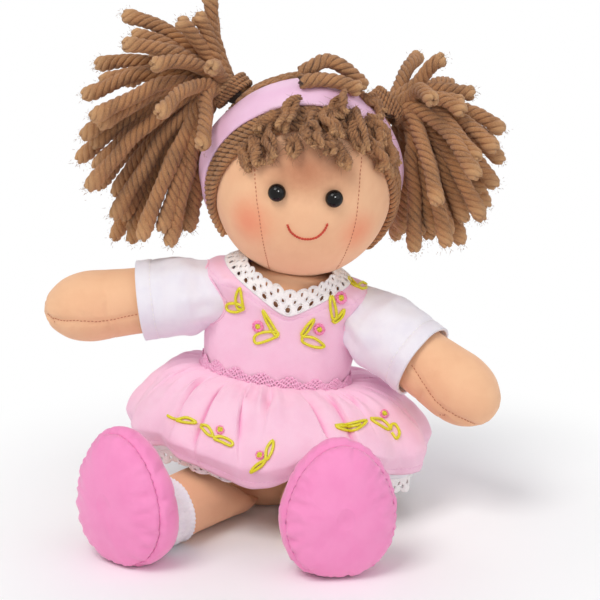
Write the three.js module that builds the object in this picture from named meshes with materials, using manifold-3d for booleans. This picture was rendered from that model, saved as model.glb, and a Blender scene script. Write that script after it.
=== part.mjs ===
// Seated rag doll with two yarn bunches, a ribboned headband and a gathered dress.
// Millimetres, +Z up. The doll faces -Y and sits on the flat under its torso, whose centre is the origin.
import * as THREE from "three";
import * as BufferGeometryUtils from "three/addons/utils/BufferGeometryUtils.js";
import Module from "manifold-3d";

const wasm = await Module();
wasm.setup();

// Cloth and fits
const cloth = 0.9;
const gap = 0.3;
const flatDepth = 0.5;
const overrun = 60;

// Torso and the lean of its spine
const torsoHeight = 96;
const torsoHalfWidth = 26.6;
const torsoHalfDepth = 18.6;
const leanAngle = THREE.MathUtils.degToRad(9.6);
const leanStart = 8;
const leanEnd = 62;
const neckHoleRadius = 12;

// Neck and head
const neckRise = 4;
const neckPivotHeight = torsoHeight + neckRise;
const neckRadius = 10.6;
const neckLength = 12;
const neckBallRadius = 10.4;
const headHalfWidth = 35.5;
const headHalfDepth = 34;
const headHalfHeight = 38;
const headSink = 2.5;
const headRoll = THREE.MathUtils.degToRad(-3.2);
const headYaw = THREE.MathUtils.degToRad(4);
const headNeckHoleRadius = 13.2;
const eyeRadius = 3.5;
const eyeSpacing = 21.8;
const eyeShift = -1.7;
const eyeHeight = 1.8;
const eyeStandOff = 1.9;
const eyeShankRadius = 0.8;
const eyeShankLength = 5;
const mouthThreadRadius = 0.55;
const mouthHalfWidth = 7.7;
const mouthCornerDrop = 7.7;
const mouthDip = 5.9;

// Hair
const wigThickness = 3;
const hairlineLead = 8;
const napeDrop = 20;
const bandTilt = THREE.MathUtils.degToRad(27.8);
const bandSetBack = 7;
const bandWidth = 9.5;
const bandThickness = 1.2;
const yarnRadius = 3.3;
const bunchRootRadius = 7.2;
const tieThreadRadius = 1.1;
const bunchReach = 60;
const bunchExit = 18;
const crownRise = 8;
const fringeThickness = 7;
const fringeLobe = 1.3;

// Arms and sleeves
const shoulderDrop = 12;
const shoulderHeight = torsoHeight - shoulderDrop;
const shoulderHalfWidth = 30.5;
const armLength = 69;
const armRadius = 13.9;
const sleeveLength = 29.5;
const sleeveRadius = 17;
const sleeveCapRadius = 14.5;
const sleeveWall = 1.2;
const socketClearance = 0.8;
const seamKnotRadius = 3.4;
const seamStemRadius = 2.4;

// Legs, socks and shoes
const hipHalfWidth = 15;
const hipHeight = 13;
const legRadius = 12.5;
const legSkinLength = 36.5;
const sockLength = 12;
const shoeDepth = 17;
const soleBulge = 7;
const soleHalfWidth = 22;
const soleHalfHeight = 27.6;
const sockExtra = 0.6;

// Dress
const waistHeight = 54;
const trimHeight = 3.2;
const trimThickness = 1.4;
const trimWave = 1.5;
const trimWaveCount = 13;
const skirtHalfWidth = 62;
const skirtHalfDepth = 50;
const skirtShiftX = 5;
const skirtShiftY = -9;
const skirtHemHeight = 27;
const skirtTilt = 5.5;
const skirtFrontDip = 7;
const skirtBackDip = 10;
const hemOverLeg = 9.6;
const legDrapeSpread = 0.42;
const hemReach = 34;
const skirtPuff = 2.8;
const skirtTuckShare = 0.5;
const skirtFoldDepth = 3.6;
const skirtFoldCount = 11;
const petticoatGap = 4;
const petticoatDrop = 3;
const petticoatLaceHeight = 4.5;
const laceThickness = 0.9;
const laceThroatDrop = 15;
const laceShoulderRise = 2.2;
const laceNapeDrop = 1.2;
const laceInset = 8;
const laceStand = 4.4;
const laceThroatStand = 9.5;
const laceNapeStand = 2.4;
const laceNapeFlare = 3;
const laceLap = 1.5;

// Poses at rest: turns of each limb from pointing straight out along X.
const armPoses = {
  right: { side: -1, swing: 0, lift: -6.7 },
  left: { side: 1, swing: 33, lift: -26 },
};
const legPoses = {
  right: { side: -1, splay: 38 },
  left: { side: 1, splay: 12 },
};

// Facet counts
const torsoSides = 20;
const headSides = 20;
const headRows = 11;
const limbSides = 12;
const legSides = 14;
const yarnSides = 5;
const yarnSteps = 4;
const crownYarnSteps = 9;
const mouthSteps = 8;
const socketSides = 18;
const ballSides = 16;
const beadSides = 14;
const rootSides = 12;
const knotSides = 10;
const stemSides = 8;

const finishes = {
  skin: { color: "#f3c39b", roughness: 0.85 },
  dress: { color: "#f6cde4", roughness: 0.85 },
  white: { color: "#f7f5f8", roughness: 0.85 },
  shoe: { color: "#f58cc6", roughness: 0.9 },
  satin: { color: "#f3cbe2", roughness: 0.45 },
  braid: { color: "#f09ccb", roughness: 0.8 },
  yarn: { color: "#a57346", roughness: 0.95 },
  bead: { color: "#15100e", roughness: 0.1 },
  thread: { color: "#cd4a22", roughness: 0.7 },
  filling: { color: "#f4f1ea", roughness: 1 },
};

const doll = new THREE.Group();

const vec = (x, y, z) => new THREE.Vector3(x, y, z);

const lerp = THREE.MathUtils.lerp;

// A closed surface through rings of points; a ring of one point is a pole.
function ringSurface(rings, closed) {
  const positions = [];
  const starts = rings.map((ring) => {
    const start = positions.length / 3;
    ring.forEach((p) => positions.push(p.x, p.y, p.z));
    return start;
  });
  const indices = [];
  const bridge = (i, j) => {
    const a = rings[i].length;
    const b = rings[j].length;
    const count = Math.max(a, b);
    if (count === 1) {
      return;
    }
    for (let k = 0; k < count; k += 1) {
      const next = (k + 1) % count;
      const a0 = starts[i] + (a === 1 ? 0 : k);
      const a1 = starts[i] + (a === 1 ? 0 : next);
      const b0 = starts[j] + (b === 1 ? 0 : k);
      const b1 = starts[j] + (b === 1 ? 0 : next);
      if (a > 1) {
        indices.push(a0, a1, b0);
      }
      if (b > 1) {
        indices.push(a1, b1, b0);
      }
    }
  };
  for (let i = 0; i + 1 < rings.length; i += 1) {
    bridge(i, i + 1);
  }
  if (closed) {
    bridge(rings.length - 1, 0);
  }
  const geometry = new THREE.BufferGeometry();
  geometry.setAttribute("position", new THREE.Float32BufferAttribute(positions, 3));
  geometry.setIndex(indices);
  return faceOutwards(geometry);
}

function faceOutwards(geometry) {
  const position = geometry.getAttribute("position");
  const index = geometry.getIndex();
  const a = new THREE.Vector3();
  const b = new THREE.Vector3();
  const c = new THREE.Vector3();
  let volume = 0;
  for (let i = 0; i < index.count; i += 3) {
    a.fromBufferAttribute(position, index.getX(i));
    b.fromBufferAttribute(position, index.getX(i + 1));
    c.fromBufferAttribute(position, index.getX(i + 2));
    volume += a.dot(b.cross(c));
  }
  if (volume < 0) {
    for (let i = 0; i < index.count; i += 3) {
      const first = index.getX(i);
      index.setX(i, index.getX(i + 2));
      index.setX(i + 2, first);
    }
  }
  return geometry;
}

function toManifold(geometry) {
  const bare = geometry.clone();
  bare.deleteAttribute("normal");
  bare.deleteAttribute("uv");
  const merged = BufferGeometryUtils.mergeVertices(bare);
  const vertProperties = new Float32Array(merged.getAttribute("position").array);
  const triVerts = new Uint32Array(merged.getIndex().array);
  return new wasm.Manifold(new wasm.Mesh({ numProp: 3, vertProperties, triVerts }));
}

function toGeometry(manifold) {
  const mesh = manifold.getMesh();
  const geometry = new THREE.BufferGeometry();
  geometry.setAttribute("position", new THREE.BufferAttribute(new Float32Array(mesh.vertProperties), 3));
  geometry.setIndex(new THREE.BufferAttribute(new Uint32Array(mesh.triVerts), 1));
  return geometry;
}

// The largest connected body of a solid.
function largestBody(manifold) {
  return manifold.decompose().reduce((best, body) => (body.volume() > best.volume() ? body : best));
}

function cut(geometry, ...cutters) {
  const body = cutters.reduce((rest, cutter) => rest.subtract(toManifold(cutter)), toManifold(geometry));
  return toGeometry(largestBody(body));
}

function addPiece(parent, name, geometry, finish) {
  const material = new THREE.MeshStandardMaterial({ ...finishes[finish], metalness: 0 });
  const shaded = geometry.index ? geometry.toNonIndexed() : geometry;
  shaded.computeVertexNormals();
  const mesh = new THREE.Mesh(shaded, material);
  mesh.name = name;
  parent.add(mesh);
  return mesh;
}

function sphere(radius, centre, sides = 20) {
  const ball = new THREE.SphereGeometry(radius, sides, sides / 2);
  return ball.translate(centre.x, centre.y, centre.z);
}

function cylinderBetween(radius, from, to, sides) {
  const rod = new THREE.CylinderGeometry(radius, radius, from.distanceTo(to), sides);
  const turn = new THREE.Quaternion().setFromUnitVectors(vec(0, 1, 0), to.clone().sub(from).normalize());
  const middle = from.clone().add(to).multiplyScalar(0.5);
  return rod.applyQuaternion(turn).translate(middle.x, middle.y, middle.z);
}

function tubeAlong(curve, radius, sides, steps) {
  const shape = new THREE.Shape();
  for (let i = 0; i < sides; i += 1) {
    const angle = (2 * Math.PI * i) / sides;
    const x = radius * Math.cos(angle);
    const y = radius * Math.sin(angle);
    if (i === 0) {
      shape.moveTo(x, y);
    } else {
      shape.lineTo(x, y);
    }
  }
  shape.closePath();
  return new THREE.ExtrudeGeometry(shape, { steps, extrudePath: curve, bevelEnabled: false });
}

// A box over everything below z = 0.
function belowFloor() {
  return new THREE.BoxGeometry(4 * overrun, 4 * overrun, overrun).translate(0, 0, -overrun / 2);
}

// Value of a column of a table of shares, straight between its rows.
function shareAt(table, column, share) {
  const upper = table.findIndex((row) => row[0] >= share);
  if (upper <= 0) {
    return table[upper < 0 ? table.length - 1 : 0][column];
  }
  const [low, high] = [table[upper - 1], table[upper]];
  return lerp(low[column], high[column], (share - low[0]) / (high[0] - low[0]));
}

// The spine: upright at the seat, bending to its lean between two heights.
function spineFrame(height) {
  const bend = leanEnd - leanStart;
  const share = THREE.MathUtils.clamp((height - leanStart) / bend, 0, 1);
  const angle = leanAngle * share;
  const radius = bend / leanAngle;
  const straight = Math.max(height - leanEnd, 0);
  const x = radius * (1 - Math.cos(angle)) + straight * Math.sin(angle);
  const z = Math.min(height, leanStart) + radius * Math.sin(angle) + straight * Math.cos(angle);
  return new THREE.Matrix4().makeRotationY(angle).setPosition(x, 0, z);
}

const onSpine = (height, x, y) => vec(x, y, 0).applyMatrix4(spineFrame(height));

function spineRing(height, halfWidth, halfDepth, sides = torsoSides) {
  return Array.from({ length: sides }, (_, i) => {
    const angle = (2 * Math.PI * i) / sides;
    return onSpine(height, halfWidth * Math.cos(angle), halfDepth * Math.sin(angle));
  });
}

// Torso rows: share of its height, of its half width and of its half depth.
const torsoShares = [
  [0.0, 0.62, 0.6],
  [0.02, 0.82, 0.8],
  [0.07, 0.94, 0.94],
  [0.18, 1.0, 1.0],
  [0.4, 0.98, 0.97],
  [0.6, 0.97, 0.94],
  [0.78, 0.96, 0.9],
  [0.9, 0.95, 0.86],
  [0.965, 0.87, 0.78],
  [0.99, 0.7, 0.72],
];

const torsoProfile = [
  ...torsoShares.map(([share, width, depth]) => [share, width * torsoHalfWidth, depth * torsoHalfDepth]),
  [1, neckHoleRadius, neckHoleRadius],
];

const torsoWidthAt = (height) => shareAt(torsoProfile, 1, height / torsoHeight);
const torsoDepthAt = (height) => shareAt(torsoProfile, 2, height / torsoHeight);

// Rings of the torso moved in or out by an offset, from its base to the rim of the neck hole.
function torsoRings(offset) {
  const rings = torsoProfile.map(([share, width, depth]) =>
    spineRing(share * torsoHeight, width + offset, depth + offset));
  rings[0] = rings[0].map((p) => p.clone().setZ(p.z - offset));
  return rings;
}

const torsoBase = (offset) => [vec(0, 0, -flatDepth - offset)];

const shoulderPoint = (side) => onSpine(shoulderHeight, side * shoulderHalfWidth, 0);

const shoulderSocket = (side, extra) =>
  sphere(sleeveCapRadius + socketClearance + extra, shoulderPoint(side), socketSides);

function buildTorso(parent) {
  const sockets = (extra) => [shoulderSocket(-1, extra), shoulderSocket(1, extra)];
  const outer = ringSurface([torsoBase(0), ...torsoRings(0), [onSpine(torsoHeight, 0, 0)]], false);
  const rim = onSpine(torsoHeight + overrun, 0, 0);
  const hole = neckHoleRadius - cloth;
  const through = [spineRing(torsoHeight + flatDepth, hole, hole), [rim]];
  const inner = ringSurface([torsoBase(-cloth), ...torsoRings(-cloth), ...through], false);
  const hollow = cut(inner, ...sockets(cloth));
  addPiece(parent, "torso_cloth", cut(outer, ...sockets(0), hollow, belowFloor()), "skin");

  const inset = -cloth - gap;
  const topHeight = neckPivotHeight - neckLength - gap;
  const top = [spineRing(topHeight, neckHoleRadius, neckHoleRadius), [onSpine(topHeight, 0, 0)]];
  const filling = ringSurface([torsoBase(inset), ...torsoRings(inset).slice(0, -2), ...top], false);
  addPiece(parent, "torso_filling", cut(filling, ...sockets(cloth + gap)), "filling");
}

// Rows of the ball that the head nods on, as shares of its radius above its middle.
const neckBallShares = [-0.45, 0, 0.45, 0.8];

// The neck turns in the torso's neck hole, and its ball lets the head nod.
function buildNeck(parent) {
  const at = (height, radius) => spineRing(height, radius, radius, limbSides);
  const bottom = neckPivotHeight - neckLength;
  const ball = neckBallShares.map((share) =>
    at(neckPivotHeight + neckBallRadius * share, neckBallRadius * Math.sqrt(1 - share * share)));
  const rings = [
    [onSpine(bottom, 0, 0)],
    at(bottom, neckRadius),
    ...ball,
    [onSpine(neckPivotHeight + neckBallRadius, 0, 0)],
  ];
  addPiece(parent, "neck", ringSurface(rings, false), "skin");
}

// How much fuller the head is in the cheeks than at the crown.
const cheekShare = 0.05;

const headRound = (elevation) => Math.cos(elevation) * (1 - cheekShare * Math.sin(elevation));

// Head surface at a turn about Z and a rise above level.
function headPoint(azimuth, elevation, offset) {
  const round = headRound(elevation);
  return vec(
    (headHalfWidth + offset) * round * Math.sin(azimuth),
    -(headHalfDepth + offset) * round * Math.cos(azimuth),
    (headHalfHeight + offset) * Math.sin(elevation),
  );
}

function headSolid(offset) {
  const rings = Array.from({ length: headRows + 1 }, (_, row) => {
    const elevation = -Math.PI / 2 + (Math.PI * row) / headRows;
    const pole = row === 0 || row === headRows;
    return Array.from({ length: pole ? 1 : headSides }, (__, i) =>
      headPoint((2 * Math.PI * i) / headSides, elevation, offset));
  });
  return ringSurface(rings, false);
}

// A point over the head's surface given by its place across the face and its height.
function facePoint(x, z, offset) {
  const elevation = Math.asin(z / headHalfHeight);
  return headPoint(Math.asin(x / (headHalfWidth * headRound(elevation))), elevation, offset);
}

const headLift = headHalfHeight - headSink;

// A slab between two planes tilted like the headband, measured along their common normal.
function tiltedSlab(from, to) {
  const slab = new THREE.BoxGeometry(4 * overrun, to - from, 4 * overrun).translate(0, (from + to) / 2, 0);
  return slab.rotateX(bandTilt);
}

// An eye's place on the head and the direction it looks in.
function eyeSeat(side) {
  const seat = facePoint(eyeShift + (side * eyeSpacing) / 2, eyeHeight, 0);
  const squares = vec(headHalfWidth ** 2, headHalfDepth ** 2, headHalfHeight ** 2);
  return { side, seat, normal: seat.clone().divide(squares).normalize() };
}

const eyeShank = ({ seat, normal }, radius, extra) => cylinderBetween(
  radius,
  seat.clone().addScaledVector(normal, -eyeShankLength - extra),
  seat.clone().addScaledVector(normal, eyeStandOff),
  stemSides,
);

function buildHead(parent) {
  const bottom = -headLift;
  const [below, above] = [vec(0, 0, bottom - overrun), vec(0, 0, bottom + gap)];
  const neckHole = cylinderBetween(headNeckHoleRadius, below, above, headSides);
  const ballSocket = sphere(neckBallRadius + 2 * gap, vec(0, 0, bottom), ballSides);
  const eyes = [eyeSeat(-1), eyeSeat(1)];
  const holes = eyes.map((eye) => eyeShank(eye, eyeShankRadius + gap, gap));
  addPiece(parent, "head_cloth", cut(headSolid(0), headSolid(-cloth), neckHole, ...holes), "skin");
  addPiece(parent, "head_filling", cut(headSolid(-cloth - gap), neckHole, ballSocket, ...holes), "filling");

  eyes.forEach((eye) => {
    const bead = sphere(eyeRadius, eye.seat.clone().addScaledVector(eye.normal, eyeStandOff), beadSides);
    const domed = toManifold(bead).subtract(toManifold(headSolid(gap)));
    const whole = domed.add(toManifold(eyeShank(eye, eyeShankRadius, 0)));
    addPiece(parent, eye.side < 0 ? "right_eye" : "left_eye", toGeometry(whole), "bead");
  });

  const mouthPoints = Array.from({ length: mouthSteps + 1 }, (_, i) => {
    const share = (2 * i) / mouthSteps - 1;
    const drop = mouthCornerDrop + mouthDip * (1 - share * share);
    return facePoint(mouthHalfWidth * share, eyeHeight - drop - eyeRadius, mouthThreadRadius + gap);
  });
  const line = new THREE.CatmullRomCurve3(mouthPoints);
  const mouth = tubeAlong(line, mouthThreadRadius, yarnSides, mouthSteps);
  addPiece(parent, "mouth_thread", cut(mouth, headSolid(gap / 2)), "thread");
}

function buildWig(parent) {
  const inner = 2 * gap;
  const cap = toManifold(headSolid(inner + wigThickness)).subtract(toManifold(headSolid(inner)));
  const behind = toManifold(tiltedSlab(bandSetBack - hairlineLead, 2 * overrun));
  const aboveNape = new THREE.BoxGeometry(4 * overrun, 4 * overrun, 2 * overrun);
  const nape = toManifold(aboveNape.translate(0, 0, overrun - napeDrop));
  addPiece(parent, "wig_base", toGeometry(largestBody(cap.intersect(behind).intersect(nape))), "yarn");

  const bandInner = inner + wigThickness + gap;
  const ring = toManifold(headSolid(bandInner + bandThickness)).subtract(toManifold(headSolid(bandInner)));
  const slab = toManifold(tiltedSlab(bandSetBack, bandSetBack + bandWidth));
  addPiece(parent, "headband", toGeometry(largestBody(ring.intersect(slab))), "satin");
}

// The fringe, a lobed mass of unravelled yarn over the forehead: its lower edge as shares of the way up.
const fringeEdgeShares = [
  [0.0, 0.62],
  [0.2, 0.42],
  [0.45, 0.36],
  [0.7, 0.3],
  [0.88, 0.12],
  [1.0, 0.2],
];
const fringeColumns = 13;
const fringeRows = 5;
const fringeRight = THREE.MathUtils.degToRad(-40);
const fringeLeft = THREE.MathUtils.degToRad(72);
const fringeTop = THREE.MathUtils.degToRad(60);
const fringeTopFallShare = 0.12;
const fringeBulgeShares = { across: [0.12, 0.88], down: [0.14, 0.86] };
const fringeWave = { column: 2.4, row: 1.4, crease: 2.1 };

const fringeBulge = (share, [start, end]) => Math.sin(Math.PI * lerp(start, end, share)) ** 0.5;

function fringePoint(column, row, outer) {
  const across = column / fringeColumns;
  const down = row / fringeRows;
  const azimuth = lerp(fringeRight, fringeLeft, across);
  const top = fringeTop - fringeTopFallShare * Math.abs(azimuth);
  const elevation = lerp(top, top * shareAt(fringeEdgeShares, 1, across), down);
  const bulge = fringeBulge(across, fringeBulgeShares.across) * fringeBulge(down, fringeBulgeShares.down);
  const wave = Math.cos(column * fringeWave.column + row * fringeWave.row);
  const lobe = fringeLobe * wave * Math.cos(row * fringeWave.crease);
  const inner = 3 * gap + wigThickness;
  return headPoint(azimuth, elevation, outer ? inner + gap + (fringeThickness + lobe) * bulge : inner);
}

function buildFringe(parent) {
  const rowNumbers = Array.from({ length: fringeRows + 1 }, (_, row) => row);
  const rings = Array.from({ length: fringeColumns + 1 }, (_, column) => [
    ...rowNumbers.map((row) => fringePoint(column, row, true)),
    ...rowNumbers.toReversed().map((row) => fringePoint(column, row, false)),
  ]);
  const middle = (ring) => [ring.reduce((sum, p) => sum.add(p), vec(0, 0, 0)).divideScalar(ring.length)];
  const patch = ringSurface([middle(rings[0]), ...rings, middle(rings[fringeColumns])], false);
  addPiece(parent, "fringe", cut(patch, tiltedSlab(bandSetBack - gap, 2 * overrun)), "yarn");
}

// Yarn tips of each bunch as shares of its reach, from the tie: across, back and up, as the doll sits.
const rightBunchTipShares = [
  [-0.15, 0.08, 0.71],
  [-0.34, -0.1, 0.56],
  [-0.72, 0.17, 0.56],
  [-0.7, -0.13, 0.41],
  [-0.92, 0.23, 0.22],
  [-0.99, 0.0, 0.05],
  [-0.45, -0.57, 0.03],
  [-0.9, -0.33, -0.04],
  [-0.99, -0.1, -0.21],
  [-1.05, 0.12, -0.41],
  [-0.95, -0.23, -0.53],
  [-0.95, 0.3, -0.64],
  [-0.8, -0.1, -0.76],
  [-0.83, 0.2, -0.98],
  [-0.7, 0.04, -0.96],
  [-0.6, -0.3, -0.86],
  [-0.42, -0.22, -0.92],
  [-0.44, 0.12, -1.0],
  [-0.3, -0.05, -0.86],
  [-0.5, 0.5, 0.4],
  [-0.75, 0.55, 0.05],
  [-0.8, 0.55, -0.35],
  [-0.62, 0.5, -0.7],
  [-0.3, 0.42, -0.84],
  [-0.16, 0.5, 0.5],
  [-0.35, 0.8, -0.1],
  [-0.12, -0.42, 0.3],
  [-0.18, -0.5, -0.2],
  [-0.5, -0.3, 0.3],
];

const leftBunchTipShares = [
  [0.4, 0.02, 0.42],
  [0.82, -0.05, -0.08],
  [0.84, 0.15, -0.34],
  [0.75, -0.33, -0.16],
  [0.6, -0.57, -0.3],
  [0.77, -0.15, -0.46],
  [0.74, 0.1, -0.66],
  [0.72, 0.27, -0.8],
  [0.66, -0.32, -0.64],
  [0.54, -0.12, -0.88],
  [0.42, -0.36, -0.84],
  [0.32, -0.05, -0.86],
  [0.2, -0.26, -0.9],
  [0.14, 0.24, -0.88],
  [0.1, 0.42, -0.98],
  [0.02, 0.5, -0.86],
  [0.62, 0.1, 0.16],
  [0.52, -0.3, 0.1],
  [0.5, 0.52, 0.14],
  [0.68, 0.5, -0.12],
  [0.62, 0.54, -0.5],
  [0.36, 0.5, -0.76],
  [0.24, 0.5, 0.36],
  [0.3, 0.75, -0.2],
  [0.3, -0.42, 0.2],
  [0.34, -0.52, -0.5],
];

// Where a bunch leaves the head, and how far back it points.
const bunchAzimuth = THREE.MathUtils.degToRad(117);
const bunchElevation = THREE.MathUtils.degToRad(39);
const bunchBackShare = 0.75;

function bunchPlace(side) {
  const root = headPoint(side * bunchAzimuth, bunchElevation, 2 * gap + wigThickness);
  const level = Math.cos(bunchElevation);
  const back = -Math.cos(bunchAzimuth) * level * bunchBackShare;
  const out = vec(side * Math.sin(bunchAzimuth) * level, back, Math.sin(bunchElevation)).normalize();
  return { out, tie: root.addScaledVector(out, gap + bunchRootRadius) };
}

// A yarn's bend: how much it leans to its tip at the tie, where it turns over and how high it rises there.
const yarnLeanShare = 0.36;
const yarnBendShare = 0.62;
const yarnRiseShare = 0.16;

// Each yarn leaves through the tie, then bends over to its tip under its own weight.
function yarnCurve(tie, out, tip) {
  const exit = out.clone().addScaledVector(tip.clone().normalize(), yarnLeanShare).normalize();
  const rise = vec(0, 0, tip.length() * yarnRiseShare);
  return new THREE.CubicBezierCurve3(
    tie.clone().addScaledVector(exit, bunchRootRadius / 2),
    tie.clone().addScaledVector(exit, bunchExit),
    tie.clone().addScaledVector(tip, yarnBendShare).add(rise),
    tie.clone().add(tip),
  );
}

function buildBunch(parent, side, name, tipShares, toHead) {
  const { out, tie } = bunchPlace(side);
  const worldToHead = new THREE.Matrix3().setFromMatrix4(toHead);
  const yarns = tipShares.map(([x, y, z]) => {
    const tip = vec(x * bunchReach, y * bunchReach, z * bunchReach).applyMatrix3(worldToHead);
    return toManifold(tubeAlong(yarnCurve(tie, out, tip), yarnRadius, yarnSides, yarnSteps));
  });
  const clear = 6 * gap + wigThickness + bandThickness;
  const loose = wasm.Manifold.union(yarns).subtract(toManifold(headSolid(clear)));
  const bunch = loose.add(toManifold(sphere(bunchRootRadius, tie, rootSides)));
  addPiece(parent, `${name}_bunch`, toGeometry(largestBody(bunch)), "yarn");
}

function buildTie(parent, side, name) {
  const { out, tie } = bunchPlace(side);
  const major = bunchRootRadius + tieThreadRadius + 2 * gap;
  const ring = new THREE.TorusGeometry(major, tieThreadRadius, yarnSides, beadSides);
  ring.applyQuaternion(new THREE.Quaternion().setFromUnitVectors(vec(0, 0, 1), out));
  ring.translate(tie.x, tie.y, tie.z);
  const cleared = cut(ring, headSolid(3 * gap + wigThickness), tiltedSlab(0, bandSetBack + bandWidth + gap));
  addPiece(parent, `${name}_hair_tie`, cleared, "yarn");
}

// Loose yarns that lie over the crown: azimuth and elevation in degrees, share of their rise over the hair.
const crownYarnShares = {
  crown_yarn_arch: [
    [-34, 74, 0],
    [-14, 76, 0.62],
    [20, 80, 1],
    [56, 74, 0.75],
    [74, 62, 0],
  ],
  crown_yarn_low: [
    [-24, 66, 0],
    [4, 70, 0],
    [30, 68, 0.08],
    [50, 60, 0.25],
  ],
};

function buildCrownYarns(parent) {
  const rest = 4 * gap + wigThickness + bandThickness + yarnRadius;
  Object.entries(crownYarnShares).forEach(([name, rows]) => {
    const points = rows.map(([azimuth, elevation, share]) => {
      const [turn, climb] = [azimuth, elevation].map(THREE.MathUtils.degToRad);
      return headPoint(turn, climb, rest + crownRise * share);
    });
    const curve = new THREE.CatmullRomCurve3(points);
    addPiece(parent, name, tubeAlong(curve, yarnRadius, yarnSides, crownYarnSteps), "yarn");
  });
}

// Limbs are built along +X of their own frame, from the joint outwards.
function limbRing(along, radius, sides = limbSides, flatten = 1) {
  return Array.from({ length: sides }, (_, i) => {
    const angle = (2 * Math.PI * i) / sides;
    return vec(along, radius * Math.cos(angle), radius * flatten * Math.sin(angle));
  });
}

// Arm rows: share of its length, share of its radius. Before them the arm closes round the knot of its seam.
const armShares = [
  [0.11, 0.66],
  [0.19, 0.88],
  [0.3, 0.99],
  [0.45, 0.93],
  [0.6, 0.96],
  [0.74, 1.0],
  [0.86, 0.87],
  [0.95, 0.56],
];
const armRootAngle = THREE.MathUtils.degToRad(41);

// Rings of the arm and its tip, moved in by an inset.
function armRings(inset) {
  const rings = armShares.map(([share, radius]) =>
    limbRing((armLength - inset) * share, radius * armRadius - inset));
  return [...rings, [vec(armLength - inset, 0, 0)]];
}

function buildArm(parent, name) {
  const reach = seamKnotRadius + gap;
  const root = (thickness) =>
    limbRing(reach * Math.cos(armRootAngle), reach * Math.sin(armRootAngle) + thickness);
  const skin = ringSurface([root(cloth), ...armRings(0), ...armRings(cloth).reverse(), root(0)], true);
  addPiece(parent, `${name}_arm_cloth`, skin, "skin");
  const fill = armRings(cloth + gap).slice(1);
  const start = [vec(fill[0][0].x - cloth, 0, 0)];
  addPiece(parent, `${name}_arm_filling`, ringSurface([start, ...fill], false), "filling");
}

// Sleeve rows: share of its length, share of its radius. The cap before them is a ball about the joint.
const sleeveShares = [
  [0.38, 0.97],
  [0.8, 0.94],
  [1.0, 0.94],
];
const sleeveCapAngles = [-47, -26, 0, 22].map(THREE.MathUtils.degToRad);

function buildSleeve(parent, name) {
  const capRing = (radius, angle) => limbRing(radius * Math.sin(angle), radius * Math.cos(angle));
  const rings = (inset) => [
    ...sleeveCapAngles.map((angle) => capRing(sleeveCapRadius - inset, angle)),
    ...sleeveShares.map(([share, radius]) => limbRing(share * sleeveLength, radius * sleeveRadius - inset)),
  ];
  const sleeve = ringSurface([...rings(0), ...rings(sleeveWall).reverse()], true);
  addPiece(parent, `${name}_sleeve`, sleeve, "white");
}

function buildArmSeam(parent, name) {
  const knot = toManifold(sphere(seamKnotRadius, vec(0, 0, 0), knotSides));
  const reach = sleeveCapRadius + socketClearance - 3 * gap;
  const stem = toManifold(cylinderBetween(seamStemRadius, vec(-reach, 0, 0), vec(0, 0, 0), stemSides));
  addPiece(parent, `${name}_arm_seam`, toGeometry(knot.add(stem)), "skin");
}

// Leg rows before the sock: share of the skin's length, shares of the leg's radius across, up and down.
const legShares = [
  [-0.074, 0.62, 0.15, 0.62],
  [0.0, 0.7, 0.21, 0.62],
  [0.12, 0.82, 0.36, 0.56],
  [0.28, 0.95, 0.72, 0.27],
  [0.5, 1.0, 1.0, 0],
  [1.0, 1.0, 1.0, 0],
];

const hipSeamHeight = hipHeight - legShares[1][3] * legRadius;

// The leg is sewn on flat, along X, close to the front of the torso.
function hipPoint(side) {
  const innerShare = (hipHalfWidth - legShares[0][1] * legRadius) / torsoWidthAt(hipSeamHeight);
  const front = torsoDepthAt(hipSeamHeight) * Math.sqrt(1 - innerShare ** 2);
  return vec(side * hipHalfWidth, legShares[0][0] * legSkinLength - front - 2 * gap, hipHeight);
}

// Rows of a leg moved in by an inset; its root is skewed by its turn so that the seam stays along X.
function legRings(inset, turn) {
  return legShares.map(([share, across, up, sink]) => {
    const wide = across * legRadius - inset;
    const ring = limbRing(share * legSkinLength, wide, legSides, (up * legRadius - inset) / wide);
    const skew = Math.tan(turn) * Math.min(1, sink / legShares[0][3]);
    return ring.map((p) => vec(p.x + p.y * skew, p.y, p.z - sink * legRadius));
  });
}

// How much narrower the shoe is at its top than at its heel.
const shoeEggShare = 0.13;
const soleLift = soleHalfHeight - hipHeight - flatDepth;

// A ring of the shoe, grown from the ankle (0) to the sole (1), its heel level with the floor.
function shoeRing(along, grow, inset) {
  const ankleRadius = legRadius + sockExtra;
  const halfWidth = lerp(ankleRadius, soleHalfWidth, grow) - inset;
  const halfHeight = lerp(ankleRadius, soleHalfHeight, grow) - inset;
  return Array.from({ length: legSides }, (_, i) => {
    const angle = (2 * Math.PI * i) / legSides;
    const egg = 1 - shoeEggShare * grow * Math.sin(angle);
    return vec(along, halfWidth * egg * Math.cos(angle), halfHeight * Math.sin(angle) + soleLift * grow);
  });
}

// Shoe rows: share of its depth, share of its growth from ankle to sole.
const shoeShares = [
  [0.0, 0.0],
  [0.22, 0.52],
  [0.5, 0.86],
  [0.78, 0.99],
  [1.0, 0.97],
];

// Sole rows: share of its bulge, share of the shoe's widest ring.
const soleShares = [
  [0.0, 0.96],
  [0.35, 0.88],
  [0.72, 0.62],
  [0.93, 0.3],
];

// Rows of the sock's knitted ribs, as shares of its length, and how far a rib stands out.
const sockRibShares = [0, 0.12, 0.24, 0.36, 0.48, 0.6, 1];
const sockRibHeight = 0.3;

const ankleReach = legSkinLength + sockLength;
const toeReach = ankleReach + shoeDepth;

const legFloor = (lift) => belowFloor().translate(0, 0, lift - hipHeight);

const shoeRings = (inset) => shoeShares.map(([share, grow]) =>
  shoeRing(lerp(ankleReach + gap, toeReach, share), grow, inset));

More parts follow.
